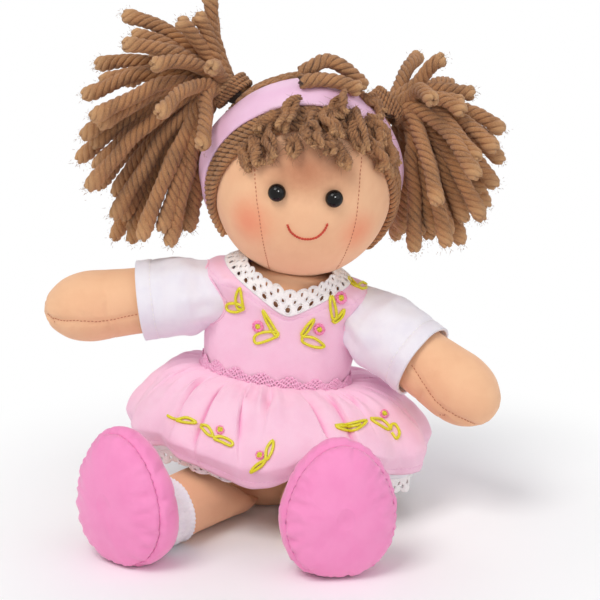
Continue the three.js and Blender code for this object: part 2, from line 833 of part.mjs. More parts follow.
// Rings of the sole and its tip, moved in by an inset.
function soleRings(inset) {
  const start = toeReach + gap;
  const rings = soleShares.map(([share, size]) => {
    const along = start + (soleBulge - inset) * share;
    const shrink = size - inset / soleHalfWidth;
    return shoeRing(along, 1, 0).map((p) => vec(along, p.y * shrink, (p.z - soleLift) * shrink + soleLift));
  });
  return [...rings, [vec(start + soleBulge - inset, 0, soleLift)]];
}

function buildLeg(parent, name, turn) {
  const [root, sink] = [legShares[0][0] * legSkinLength, -legShares[0][3] * legRadius];
  const hollow = legRings(cloth, turn);
  hollow[0] = hollow[0].map((p) => vec(p.x + cloth, p.y, p.z));
  const ends = [[vec(root, 0, sink)], [vec(root + cloth, 0, sink)]];
  const skin = [ends[0], ...legRings(0, turn), ...hollow.reverse(), ends[1]];
  addPiece(parent, `${name}_leg_cloth`, cut(ringSurface(skin, false), legFloor(0)), "skin");

  const sockTop = legSkinLength + gap;
  const sockRing = (share, extra) => limbRing(lerp(sockTop, ankleReach, share), legRadius + extra, legSides);
  const outer = sockRibShares.map((share, i) => sockRing(share, sockExtra + (i % 2) * sockRibHeight));
  const inner = [sockRing(1, sockExtra - cloth), sockRing(0, sockExtra - cloth)];
  addPiece(parent, `${name}_sock`, cut(ringSurface([...outer, ...inner], true), legFloor(0)), "white");

  const upper = ringSurface([...shoeRings(0), ...shoeRings(cloth).reverse()], true);
  addPiece(parent, `${name}_shoe_upper`, cut(upper, legFloor(0)), "shoe");
  const sole = ringSurface([...soleRings(0), ...soleRings(cloth).reverse()], true);
  addPiece(parent, `${name}_shoe_sole`, cut(sole, legFloor(0)), "shoe");

  const inset = cloth + gap;
  const start = [vec(legShares[3][0] * legSkinLength, 0, -legShares[3][3] * legRadius)];
  const foot = shoeRings(inset + 3 * gap);
  const tip = soleRings(inset).slice(1);
  const fill = ringSurface([start, ...legRings(inset, turn).slice(4), ...foot, ...tip], false);
  addPiece(parent, `${name}_leg_filling`, cut(fill, legFloor(inset)), "filling");
}

// How far an angle about the spine is to the throat, at -90 degrees, and to the nape, at 90 degrees.
const toThroat = (angle) => Math.max(0, -Math.sin(angle)) ** 3;
const toNape = (angle) => Math.max(0, Math.sin(angle)) ** 2;

// A value that changes round the neck from the shoulders to the throat and to the nape.
const roundNeck = (angle, throat, shoulder, nape) =>
  shoulder + (throat - shoulder) * toThroat(angle) + (nape - shoulder) * toNape(angle);

const bodiceOffset = gap;

// Rings over the torso from the waist up, on the torso's own rows.
function bodiceRings(offset) {
  const above = torsoProfile.map(([share]) => share * torsoHeight).filter((height) => height > waistHeight);
  return [waistHeight, ...above].map((height) =>
    spineRing(height, torsoWidthAt(height) + offset, torsoDepthAt(height) + offset));
}

// The neckline, where the lace is sewn to the bodice: a V in front.
const necklineHeight = (angle) =>
  torsoHeight + roundNeck(angle, -laceThroatDrop, laceShoulderRise, -laceNapeDrop);

function buildBodice(parent) {
  const outer = bodiceRings(bodiceOffset + cloth);
  const shell = ringSurface([...outer, ...bodiceRings(bodiceOffset).reverse()], true);
  const edge = (radius) => Array.from({ length: torsoSides }, (_, i) => {
    const angle = (2 * Math.PI * i) / torsoSides;
    return onSpine(necklineHeight(angle) + laceLap, radius * Math.cos(angle), radius * Math.sin(angle));
  });
  const above = ringSurface([
    [onSpine(torsoHeight, 0, 0)],
    edge(neckHoleRadius / 2),
    edge(overrun),
    [onSpine(torsoHeight + overrun, 0, 0)],
  ], false);
  const sockets = [shoulderSocket(-1, 0), shoulderSocket(1, 0)];
  addPiece(parent, "dress_bodice", cut(shell, ...sockets, above), "dress");
}

const laceSides = 28;
const laceRowShares = [0, 0.5, 1];

// The lace from its seam (0) to its free edge (1), which stands up round the neck.
function lacePoint(angle, share, out) {
  const over = bodiceOffset + cloth + gap;
  const height = necklineHeight(angle) + share * roundNeck(angle, laceThroatStand, laceStand, laceNapeStand);
  const side = shoulderHalfWidth - laceInset;
  const front = torsoDepthAt(height) + over;
  const back = torsoDepthAt(torsoHeight - laceNapeDrop) + over + share * laceNapeFlare;
  const reach = lerp(Math.sin(angle) < 0 ? front : back, side, Math.cos(angle) ** 2);
  return onSpine(height, (side + out) * Math.cos(angle), (reach + out) * Math.sin(angle));
}

function buildLace(parent) {
  const edge = (share, out) =>
    Array.from({ length: laceSides }, (_, i) => lacePoint((2 * Math.PI * i) / laceSides, share, out));
  const inner = laceRowShares.map((share) => edge(share, 0));
  const outer = laceRowShares.map((share) => edge(share, laceThickness));
  addPiece(parent, "neck_lace", ringSurface([...inner, ...outer.reverse()], true), "white");
}

function buildTrim(parent) {
  const stations = trimWaveCount * 4;
  const ring = (out, up) => Array.from({ length: stations }, (_, i) => {
    const angle = (2 * Math.PI * i) / stations;
    const wave = trimWave * Math.sin(trimWaveCount * angle);
    const height = waistHeight + trimHeight / 2 + trimWave + up * (trimHeight / 2) + wave;
    const offset = bodiceOffset + cloth + gap + out * trimThickness;
    const width = torsoWidthAt(height) + offset;
    const depth = torsoDepthAt(height) + offset;
    return onSpine(height, width * Math.cos(angle), depth * Math.sin(angle));
  });
  const rings = [ring(0, -1), ring(1, -1), ring(1, 1), ring(0, 1)];
  addPiece(parent, "waist_trim", ringSurface(rings, true), "braid");
}

// Height of the hem at an angle about the skirt's middle: it dips between the legs and lies over them.
function hemHeight(angle, across, front, back) {
  const free = skirtHemHeight - skirtTilt * across - skirtFrontDip * front ** 2 - skirtBackDip * back ** 2;
  const over = hipHeight + legRadius + hemOverLeg;
  return Object.values(legPoses).reduce((height, { side, splay }) => {
    const turn = THREE.MathUtils.degToRad(side * splay);
    const x = hipPoint(side).x + hemReach * Math.sin(turn) - skirtShiftX;
    const y = hipPoint(side).y - hemReach * Math.cos(turn) - skirtShiftY;
    const turned = angle - Math.atan2(y, x);
    const away = Math.atan2(Math.sin(turned), Math.cos(turned));
    return lerp(height, over, Math.exp(-((away / legDrapeSpread) ** 2)));
  }, free);
}

// Shape of the gathers: how their spacing varies, how soon the cloth reaches its width and where it tucks in.
const foldDriftShare = 0.9;
const spreadShare = 1.12;
const spreadPower = 0.8;
const dropPower = 1.5;
const tuckStartShare = 0.8;
const puffEndShare = 0.5;

// A layer of the gathered skirt at a share of the way from waist (0) to hem (1).
function skirtPoint(angle, share, layer) {
  const across = Math.cos(angle);
  const along = Math.sin(angle);
  const top = onSpine(layer.start, (torsoWidthAt(layer.start) + layer.offset) * across,
    (torsoDepthAt(layer.start) + layer.offset) * along);
  const fold = layer.fold * share * Math.sin(skirtFoldCount * angle + foldDriftShare * Math.sin(2 * angle));
  const hem = vec(
    skirtShiftX + (skirtHalfWidth - layer.inset + fold) * across,
    skirtShiftY + (skirtHalfDepth - layer.inset + fold) * along,
    hemHeight(angle, across, Math.max(0, -along), Math.max(0, along)) - layer.drop,
  );
  const spread = Math.sin((Math.PI / 2) * Math.min(1, share * spreadShare)) ** spreadPower;
  const out = spread - skirtTuckShare * Math.max(0, share - tuckStartShare);
  const puff = skirtPuff * Math.sin(Math.PI * Math.min(1, share / puffEndShare)) * (1 - share);
  const height = lerp(top.z, hem.z, share ** dropPower) + puff;
  return vec(lerp(top.x, hem.x, out), lerp(top.y, hem.y, out), height);
}

function clothRing(stations, share, layer) {
  const step = (2 * Math.PI) / stations;
  return Array.from({ length: stations }, (_, i) => skirtPoint(step * i, share, layer));
}

// The inner wall of a cloth whose outer rings run down from the waist, square to its surface.
function innerWall(rings) {
  return rings.map((ring, row) => ring.map((point, i) => {
    const around = ring[(i + 1) % ring.length].clone().sub(ring.at(i - 1));
    const above = rings[Math.max(row - 1, 0)][i];
    const below = rings[Math.min(row + 1, rings.length - 1)][i];
    const inwards = around.cross(below.clone().sub(above)).normalize();
    return point.clone().addScaledVector(inwards, cloth);
  }));
}

// A skirt layer as a thin shell between an outer and an inner face.
function clothShell(stations, rows, layer) {
  const outer = rows.map((share) => clothRing(stations, share, layer));
  return ringSurface([...outer, ...innerWall(outer).reverse()], true);
}

// Rows of the skirt and of its petticoat, as shares of the way from waist to hem.
const skirtRowShares = [0, 0.12, 0.3, 0.6, 0.85, 1];
const petticoatRowShares = [0, 0.12, 0.3, 0.65, 1];

function buildSkirt(parent) {
  const offset = bodiceOffset + cloth;
  const outer = { start: waistHeight - gap, offset, inset: 0, drop: 0, fold: skirtFoldDepth };
  addPiece(parent, "skirt", clothShell(skirtFoldCount * 4, skirtRowShares, outer), "dress");
  const lining = {
    start: waistHeight - petticoatGap,
    offset,
    inset: petticoatGap,
    drop: petticoatDrop,
    fold: skirtFoldDepth / 2,
  };
  const around = skirtFoldCount * 3;
  addPiece(parent, "petticoat", clothShell(around, petticoatRowShares, lining), "white");
  const face = (inset) => [0, 1].map((share) => clothRing(around, 1, {
    ...lining,
    inset: petticoatGap + inset,
    drop: petticoatDrop + gap + petticoatLaceHeight * share,
  }));
  addPiece(parent, "petticoat_lace", ringSurface([...face(0), ...face(cloth).reverse()], true), "white");
}

buildTorso(doll);
buildNeck(doll);
buildBodice(doll);
buildLace(doll);
buildTrim(doll);
buildSkirt(doll);

const head = new THREE.Group();
const neckTop = spineFrame(neckPivotHeight);
const headTurn = new THREE.Matrix4().makeRotationY(headRoll);
headTurn.multiply(new THREE.Matrix4().makeRotationZ(headYaw));
const headRise = new THREE.Matrix4().makeTranslation(0, 0, headLift);
const headFrame = neckTop.clone().multiply(headTurn).multiply(headRise);
head.applyMatrix4(headFrame);
doll.add(head);
const toHead = headFrame.clone().invert();
buildHead(head);
buildWig(head);
buildFringe(head);
buildCrownYarns(head);
buildTie(head, -1, "right");
buildTie(head, 1, "left");
buildBunch(head, -1, "right", rightBunchTipShares, toHead);
buildBunch(head, 1, "left", leftBunchTipShares, toHead);

Object.entries(armPoses).forEach(([name, { side, swing, lift }]) => {
  const arm = new THREE.Group();
  const point = shoulderPoint(side);
  arm.position.copy(point);
  const turn = THREE.MathUtils.degToRad(side > 0 ? -swing : 180 + swing);
  arm.rotation.set(0, -THREE.MathUtils.degToRad(lift), turn, "ZYX");
  doll.add(arm);
  buildArmSeam(arm, name);
  buildArm(arm, name);
  buildSleeve(arm, name);
});

Object.entries(legPoses).forEach(([name, { side, splay }]) => {
  const leg = new THREE.Group();
  const turn = side * THREE.MathUtils.degToRad(splay);
  leg.position.copy(hipPoint(side));
  leg.rotation.z = turn - Math.PI / 2;
  doll.add(leg);
  buildLeg(leg, name, turn);
});

export default doll;
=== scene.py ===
"""Looks of a seated rag doll with two yarn bunches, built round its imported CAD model.

Sizes are in millimetres, in the CAD model's frame, and every mesh is made in metres.
"""

import logging
import math
from dataclasses import dataclass, field
from enum import Enum

import bmesh
import bpy
import numpy as np
from mathutils import Matrix, Vector, noise
from mathutils.bvhtree import BVHTree


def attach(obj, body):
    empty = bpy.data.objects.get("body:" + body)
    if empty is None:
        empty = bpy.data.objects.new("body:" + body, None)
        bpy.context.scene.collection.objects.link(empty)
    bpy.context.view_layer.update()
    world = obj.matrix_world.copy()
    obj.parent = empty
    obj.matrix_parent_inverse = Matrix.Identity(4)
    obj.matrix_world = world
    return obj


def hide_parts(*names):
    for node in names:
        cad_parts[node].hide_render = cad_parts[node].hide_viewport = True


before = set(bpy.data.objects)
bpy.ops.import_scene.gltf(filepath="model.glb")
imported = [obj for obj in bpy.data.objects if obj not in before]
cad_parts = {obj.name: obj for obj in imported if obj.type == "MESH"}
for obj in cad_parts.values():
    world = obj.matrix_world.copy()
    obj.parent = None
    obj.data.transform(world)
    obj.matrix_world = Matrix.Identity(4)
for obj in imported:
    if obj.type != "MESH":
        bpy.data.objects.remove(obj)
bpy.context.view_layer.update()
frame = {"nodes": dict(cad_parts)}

MM = 0.001
TAU = 2 * math.pi
log = logging.getLogger("rag_doll")

Array = np.ndarray
Number = np.ndarray | float
Pair = tuple[float, float]
Triple = tuple[float, float, float]
Colour = tuple[float, float, float, float]
Piece = bpy.types.Object
Material = bpy.types.Material


class Side(Enum):
    """The doll's own sides, and the way each lies along X."""

    RIGHT = -1
    LEFT = 1

    @property
    def word(self) -> str:
        """Name of the side as it stands in the pieces' names."""
        return self.name.lower()


class Weave(Enum):
    """How a cloth is made, which sets its fine relief."""

    PLAIN = "plain"
    KNIT = "knit"
    NAP = "nap"


def colour(red: float, green: float, blue: float) -> Colour:
    """Linear colour of an sRGB colour given in steps of 0 to 255.

    Args:
        red: Red step.
        green: Green step.
        blue: Blue step.

    Returns:
        The linear colour with full alpha.
    """
    def linear(step: float) -> float:
        """One channel from sRGB to linear."""
        share = step / 255
        return share / 12.92 if share <= 0.04045 else ((share + 0.055) / 1.055) ** 2.4

    return linear(red), linear(green), linear(blue), 1.0


def smooth_step(low: float, high: float, value: Array) -> Array:
    """Rises smoothly from 0 at low to 1 at high."""
    share = np.clip((value - low) / (high - low), 0, 1)
    return share * share * (3 - 2 * share)


def turn_matrix(angle: float, axis: str) -> Array:
    """A 4x4 turn by an angle about an axis, as an array."""
    return np.array(Matrix.Rotation(angle, 4, axis), float)


def shift_matrix(x: float, y: float, z: float) -> Array:
    """A 4x4 shift as an array."""
    return np.array(Matrix.Translation((x, y, z)), float)


def moved(points: Array, matrix: Array) -> Array:
    """Points taken through a 4x4 matrix."""
    return points @ matrix[:3, :3].T + matrix[:3, 3]


def unit(vectors: Array) -> Array:
    """The directions of vectors, each of length 1."""
    return vectors / np.linalg.norm(vectors, axis=-1, keepdims=True)


def bell(value: Number, middle: float, width: float) -> Array:
    """1 at the middle, and falling off smoothly on both sides of it."""
    return np.exp(-(((value - middle) / width) ** 2))


def around(count: int) -> Array:
    """Angles at even steps round a full turn."""
    return np.arange(count) * TAU / count


def closed(line: Array) -> Array:
    """A ring of points that ends where it starts."""
    return np.vstack([line, line[:1]])


def coiled(middle: Array, way: Array, angle: Array, radius: Number, rise: Number) -> Array:
    """A line that winds about a direction.

    Args:
        middle: Where the winding's middle line starts.
        way: The direction.
        angle: How far each point has wound.
        radius: Its distance from the middle line.
        rise: Its distance along it.

    Returns:
        The line's points.
    """
    across = unit(np.cross(way, [0, 0, 1.0]))
    over = np.cross(across, way)
    return (middle + np.outer(radius * np.cos(angle), across) + np.outer(radius * np.sin(angle), over)
            + np.outer(rise, way))


def through(points: Array, count: int) -> Array:
    """A smooth curve through points.

    Args:
        points: The points, one per row, with any number of columns.
        count: How many points the curve gets.

    Returns:
        Points of a centripetal-like cubic at even steps of the table's rows.
    """
    points = np.asarray(points, float)
    padded = np.vstack([2 * points[0] - points[1], points, 2 * points[-1] - points[-2]])
    place = np.linspace(0, len(points) - 1, count)
    index = np.minimum(place.astype(int), len(points) - 2)
    share = (place - index)[:, None]
    a, b, c, d = (padded[index + step] for step in range(4))
    return 0.5 * (
        2 * b + (c - a) * share + (2 * a - 5 * b + 4 * c - d) * share**2
        + (3 * b - a - 3 * c + d) * share**3
    )


def lengths_along(points: Array) -> Array:
    """Length of a line up to each of its points."""
    steps = np.linalg.norm(np.diff(points, axis=0), axis=1)
    return np.concatenate([[0.0], np.cumsum(steps)])


def spaced(points: Array, count: int) -> Array:
    """The same line with points at even spacing."""
    along = lengths_along(points)
    places = np.linspace(0, along[-1], count)
    return np.stack([np.interp(places, along, points[:, axis]) for axis in range(3)], -1)


def ripple(points: Array, size: float, seed: float) -> Array:
    """Smooth noise at points.

    Args:
        points: The points, with x, y and z on the last axis.
        size: Size of a bump in millimetres.
        seed: Shift that tells one use from another.

    Returns:
        One value per point, from about -1 to 1.
    """
    flat = np.asarray(points, float).reshape(-1, 3) / size + seed
    return np.array([noise.noise(Vector(p)) for p in flat]).reshape(np.shape(points)[:-1])


def outline_normals(rings: Array) -> Array:
    """Outward direction at each point of a stack of closed rings."""
    around = np.roll(rings, -1, 1) - np.roll(rings, 1, 1)
    along = np.gradient(rings, axis=0)
    normal = np.cross(around, along)
    normal /= np.linalg.norm(normal, axis=-1, keepdims=True) + 1e-9
    out = rings - rings.mean(1, keepdims=True)
    return normal * (1 if (normal * out).sum() > 0 else -1)


def add_object(name: str, data: bpy.types.ID) -> Piece:
    """Puts an object with some data into the scene."""
    item = bpy.data.objects.new(name, data)
    bpy.context.scene.collection.objects.link(item)
    return item


def points_of(piece: Piece) -> Array:
    """Points of a piece in millimetres."""
    return np.array([v.co for v in piece.data.vertices]) / MM


def set_points(piece: Piece, points: Array) -> None:
    """Moves the points of a piece to places in millimetres."""
    piece.data.vertices.foreach_set("co", (points * MM).ravel())
    piece.data.update()


class Value:
    """A socket that takes part in Python sums, which add Math nodes to its tree."""

    def __init__(self, tree: "Tree", socket: bpy.types.NodeSocket) -> None:
        """Keeps the tree and the socket."""
        self.tree = tree
        self.socket = socket

    def math(self, operation: str, *others: "Value | float") -> "Value":
        """The result of a Math node whose first value is this one."""
        sockets = dict(enumerate((self, *others)))
        return self.tree.node("ShaderNodeMath", {"operation": operation}, sockets)

    def vector(self, operation: str, *others: object) -> "Value":
        """The result of a Vector Math node whose first vector is this one."""
        sockets = dict(enumerate((self, *others)))
        if operation == "SCALE":
            sockets = {0: self, "Scale": others[0]}
        result = self.tree.node("ShaderNodeVectorMath", {"operation": operation}, sockets)
        if operation in ("DISTANCE", "LENGTH", "DOT_PRODUCT"):
            return result.out("Value")
        return result

    def out(self, name: str) -> "Value":
        """Another output of the node that this value comes from."""
        return Value(self.tree, self.socket.node.outputs[name])

    def sine(self) -> "Value":
        """Sine of the value."""
        return self.math("SINE")

    def cosine(self) -> "Value":
        """Cosine of the value."""
        return self.math("COSINE")

    def step(self, low: float, high: float) -> "Value":
        """Rises smoothly from 0 at low to 1 at high."""
        sockets = {"Value": self, "From Min": low, "From Max": high}
        return self.tree.node("ShaderNodeMapRange", {"interpolation_type": "SMOOTHSTEP"}, sockets)

    def __add__(self, other: "Value | float") -> "Value":
        """Sum."""
        return self.math("ADD", other)

    __radd__ = __add__

    def __sub__(self, other: "Value | float") -> "Value":
        """Difference."""
        return self.math("SUBTRACT", other)

    def __rsub__(self, other: float) -> "Value":
        """Difference from a number."""
        return (self * -1) + other

    def __mul__(self, other: "Value | float") -> "Value":
        """Product."""
        return self.math("MULTIPLY", other)

    __rmul__ = __mul__

    def __truediv__(self, other: "Value | float") -> "Value":
        """Quotient."""
        return self.math("DIVIDE", other)

    def __pow__(self, other: float) -> "Value":
        """Power."""
        return self.math("POWER", other)


class Tree:
    """A node tree that is written as Python expressions."""

    def __init__(self, tree: bpy.types.NodeTree) -> None:
        """Keeps Blender's tree."""
        self.tree = tree

    def node(self, kind: str, settings: dict | None = None, sockets: dict | None = None) -> Value:
        """Adds a node.

        Args:
            kind: Blender's name of the node's type.
            settings: Properties of the node, set first; stops are a ramp's places and colours.
            sockets: Values or links of its inputs, by name or place.

        Returns:
            The node's first shown output.
        """
        made = self.tree.nodes.new(kind)
        for name, setting in (settings or {}).items():
            if name == "stops":
                for element, (place, shade) in zip(made.color_ramp.elements, setting):
                    element.position = place
                    element.color = shade
            else:
                setattr(made, name, setting)
        for name, value in (sockets or {}).items():
            if isinstance(value, Value):
                self.tree.links.new(value.socket, made.inputs[name])
            elif value is not None:
                made.inputs[name].default_value = value
        shown = [output for output in made.outputs if output.enabled]
        return Value(self, shown[0]) if shown else Value(self, made.inputs[0])

    def mix(self, factor: Value | float, first: object, second: object) -> Value:
        """A colour between two others."""
        sockets = {0: factor, 6: first, 7: second}
        return self.node("ShaderNodeMix", {"data_type": "RGBA"}, sockets)

    def noise(self, where: Value, scale: float, detail: float = 2.0, rough: float = 0.5) -> Value:
        """Noise from 0 to 1 at a place."""
        sockets = {"Vector": where, "Scale": scale, "Detail": detail, "Roughness": rough}
        return self.node("ShaderNodeTexNoise", None, sockets)

    def vector(self, x: Value | float, y: Value | float, z: Value | float) -> Value:
        """A vector from three values."""
        return self.node("ShaderNodeCombineXYZ", None, {0: x, 1: y, 2: z})

    def seen_white(self) -> Value:
        """Share of a ray that sees the background itself."""
        path = self.node("ShaderNodeLightPath")
        shown = path.out("Is Camera Ray").math("MAXIMUM", path.out("Is Glossy Ray"))
        return shown.math("MAXIMUM", path.out("Is Transmission Ray"))


class ShaderTree(Tree):
    """The nodes of one material."""

    def __init__(self, name: str) -> None:
        """Makes an empty material."""
        self.material = bpy.data.materials.new(name)
        self.material.use_nodes = True
        super().__init__(self.material.node_tree)
        self.tree.nodes.clear()
        self.place = self.node("ShaderNodeTexCoord").out("Object")

    def parts(self, where: Value) -> tuple[Value, Value]:
        """The x and y of a vector."""
        split = self.node("ShaderNodeSeparateXYZ", None, {0: where})
        return split.out("X"), split.out("Y")

    def stored(self, name: str) -> Value:
        """A value that the mesh stores at its points."""
        return self.node("ShaderNodeAttribute", {"attribute_name": name}).out("Fac")

    def surface(self, height: Value, depth: float, sockets: dict) -> Material:
        """Ends the tree in a Principled shader with relief.

        Args:
            height: Height of the relief, from about 0 to 1.
            depth: Depth of the relief in metres.
            sockets: Values or links of the shader's inputs.

        Returns:
            The finished material.
        """
        bump = self.node("ShaderNodeBump", None, {"Strength": 1.0, "Distance": depth, "Height": height})
        shader = self.node("ShaderNodeBsdfPrincipled", None, {"Normal": bump, **sockets})
        self.node("ShaderNodeOutputMaterial", None, {"Surface": shader})
        return self.material


class GeometryTree(Tree):
    """A Geometry Nodes tree with named inputs, run on an object of its own."""

    def __init__(self, name: str) -> None:
        """Makes a tree with one geometry output."""
        super().__init__(bpy.data.node_groups.new(name, "GeometryNodeTree"))
        self.tree.interface.new_socket("Geometry", in_out="OUTPUT", socket_type="NodeSocketGeometry")
        self.source = self.tree.nodes.new("NodeGroupInput")
        self.inputs: dict[str, str] = {}

    def input(self, name: str, kind: str) -> Value:
        """Adds a named input.

        Args:
            name: The input's name.
            kind: Its type, such as Float, Int, Object or Material.

        Returns:
            The input's value inside the tree.
        """
        socket = self.tree.interface.new_socket(name, in_out="INPUT", socket_type=f"NodeSocket{kind}")
        self.inputs[name] = socket.identifier
        return Value(self, self.source.outputs[name])

    def lines(self) -> Value:
        """The lines of the object that the first input, Path, names."""
        relative = {"transform_space": "RELATIVE"}
        info = self.node("GeometryNodeObjectInfo", relative, {"Object": self.input("Path", "Object")})
        return info.out("Geometry")

    def store(self, geometry: Value, name: str, value: Value, kind: str = "FLOAT") -> Value:
        """The geometry with a value stored at its points."""
        return self.node("GeometryNodeStoreNamedAttribute", {"data_type": kind, "domain": "POINT"},
                         {"Geometry": geometry, "Name": name, "Value": value})

    def finish(self, geometry: Value, material: Value) -> None:
        """Ends the tree with real, smooth geometry and its material."""
        smooth = self.node("GeometryNodeSetShadeSmooth", None, {"Geometry": geometry})
        real = self.node("GeometryNodeRealizeInstances", None, {"Geometry": smooth})
        dressed = self.node("GeometryNodeSetMaterial", None, {"Geometry": real, "Material": material})
        self.node("NodeGroupOutput", None, {0: dressed})

    def run(self, name: str, values: dict) -> Piece:
        """Makes a plain mesh object from the tree.

        Args:
            name: The object's name.
            values: Values of the named inputs.

        Returns:
            The object, with the modifier gone.
        """
        host = add_object(name, bpy.data.meshes.new(name))
        modifier = host.modifiers.new("tree", "NODES")
        modifier.node_group = self.tree
        for label, value in values.items():
            modifier[self.inputs[label]] = value
        return bake(host)


def bake(piece: Piece) -> Piece:
    """Turns what an object's modifiers make into its own plain mesh."""
    graph = bpy.context.evaluated_depsgraph_get()
    mesh = bpy.data.meshes.new_from_object(piece.evaluated_get(graph))
    piece.modifiers.clear()
    old = piece.data
    piece.data = mesh
    bpy.data.meshes.remove(old)
    mesh.name = piece.name
    return piece


def lines_object(name: str, lines: list[Array], radii: list[Array]) -> Piece:
    """A curve object that holds lines for a tree to read.

    Args:
        name: The object's name.
        lines: Points of each line.
        radii: Radius factor at each point of each line.

    Returns:
        The curve object.
    """
    data = bpy.data.curves.new(name, "CURVE")
    data.dimensions = "3D"
    for points, factors in zip(lines, radii):
        spline = data.splines.new("POLY")
        spline.points.add(len(points) - 1)
        flat = np.hstack([points * MM, np.ones((len(points), 1))])
        spline.points.foreach_set("co", flat.ravel())
        spline.points.foreach_set("radius", np.asarray(factors, float))
    return add_object(name, data)


def mesh_object(name: str, points: Array, faces: list, uvs: Array | None, material: Material) -> Piece:
    """A mesh object whose faces point away from its middle.

    Args:
        name: The object's name.
        points: Its points in millimetres.
        faces: Its faces as lists of point numbers.
        uvs: A place on the cloth for each face corner, or None.
        material: Its material.

    Returns:
        The object, at the origin.
    """
    mesh = bpy.data.meshes.new(name)
    mesh.from_pydata((points * MM).tolist(), [], faces)
    if uvs is not None:
        layer = mesh.uv_layers.new(name="cloth")
        layer.data.foreach_set("uv", np.asarray(uvs, np.float32).ravel())
    normals = np.array([p.normal * p.area for p in mesh.polygons])
    centres = np.array([p.center for p in mesh.polygons])
    if (normals * (centres - centres.mean(0))).sum() < 0:
        mesh.flip_normals()
    mesh.shade_smooth()
    mesh.materials.append(material)
    return add_object(name, mesh)


def cloth_grid(name: str, rows: Array, material: Material, wrap: bool = True,
               poles: tuple[Array | None, Array | None] = (None, None)) -> Piece:
    """A surface through rows of points, with the cloth's own places as UV.

    Args:
        name: The object's name.
        rows: Points with the rows on the first axis and the places along a row on the second.
        material: Its material.
        wrap: Whether each row is a closed ring.
        poles: Points that close the surface before its first and after its last row.

    Returns:
        The object.
    """
    count, width = rows.shape[:2]
    columns = width if wrap else width - 1
    step = np.linalg.norm(np.roll(rows, -1, 1)[:, :columns] - rows[:, :columns], axis=-1).mean() * MM
    along = np.linalg.norm(np.diff(rows, axis=0), axis=-1).mean(1)
    heights = np.concatenate([[0.0], np.cumsum(along)]) * MM
    faces, uvs = [], []
    for r in range(count - 1):
        for c in range(columns):
            n = (c + 1) % width
            faces.append((r * width + c, r * width + n, (r + 1) * width + n, (r + 1) * width + c))
            u, v = c * step, heights[r]
            uvs += [(u, v), (u + step, v), (u + step, heights[r + 1]), (u, heights[r + 1])]
    points = [rows.reshape(-1, 3)]
    for pole, row, flip in zip(poles, (0, count - 1), (True, False)):
        if pole is None:
            continue
        apex = count * width + len(points) - 1
        points.append(np.asarray(pole, float)[None])
        for c in range(columns):
            pair = [row * width + c, row * width + (c + 1) % width]
            faces.append((*(pair[::-1] if flip else pair), apex))
            u = c * step
            ends = [(u, heights[row]), (u + step, heights[row])]
            uvs += [*(ends[::-1] if flip else ends), (u + step / 2, heights[row])]
    return mesh_object(name, np.vstack(points), faces, np.array(uvs), material)


class YarnTree(GeometryTree):
    """Twists plies round lines, which makes yarns, threads and single fibres."""

    def __init__(self) -> None:
        """Builds the tree."""
        super().__init__("twisted_yarn")
        lines = self.lines()
        step, reach, ply, pitch, rough, grain = (self.input(name, "Float") for name in (
            "Step", "Ply reach", "Ply radius", "Twist pitch", "Roughness", "Grain"))
        plies, sides = (self.input(name, "Int") for name in ("Plies", "Sides"))
        material = self.input("Material", "Material")
        even = self.node("GeometryNodeResampleCurve", {"mode": "LENGTH"}, {"Curve": lines, "Length": step})
        straight = self.node("GeometryNodeSetCurveNormal", {"mode": "MINIMUM_TWIST"}, {"Curve": even})
        place = self.node("GeometryNodeSplineParameter")
        marked = self.store(straight, "along", place.out("Factor"))
        where = self.node("GeometryNodeInputPosition")
        centred = self.store(marked, "middle", where, "FLOAT_VECTOR")
        copies = self.node("GeometryNodeDuplicateElements", {"domain": "SPLINE"},
                           {"Geometry": centred, "Amount": plies})
        number = copies.out("Duplicate Index")
        angle = (place.out("Length") / pitch + number / plies) * TAU
        normal = self.node("GeometryNodeInputNormal")
        tangent = self.node("GeometryNodeInputTangent")
        width = self.node("GeometryNodeInputRadius")
        across = normal.vector("SCALE", angle.cosine() * reach * width)
        over = tangent.vector("CROSS_PRODUCT", normal).vector("SCALE", angle.sine() * reach * width)
        twisted = self.node("GeometryNodeSetPosition", None,
                            {"Geometry": copies, "Offset": across.vector("ADD", over)})
        ring = self.node("GeometryNodeCurvePrimitiveCircle", None, {"Resolution": sides, "Radius": ply})
        swept = self.node("GeometryNodeCurveToMesh", None,
                          {"Curve": twisted, "Profile Curve": ring, "Scale": width, "Fill Caps": True})
        middle = self.node("GeometryNodeInputNamedAttribute", {"data_type": "FLOAT_VECTOR"},
                           {"Name": "middle"})
        # Distance from the yarn's middle as a share of its radius, stored as crest; the finishes paint shade
        # in the grooves where it is low.
        away = where.vector("DISTANCE", middle) / (reach + ply)
        shaded = self.store(swept, "crest", away)
        lumps = (self.noise(where, grain) - 0.5) * rough
        out = where.vector("SUBTRACT", middle).vector("NORMALIZE")
        uneven = self.node("GeometryNodeSetPosition", None,
                           {"Geometry": shaded, "Offset": out.vector("SCALE", lumps)})
        self.finish(uneven, material)


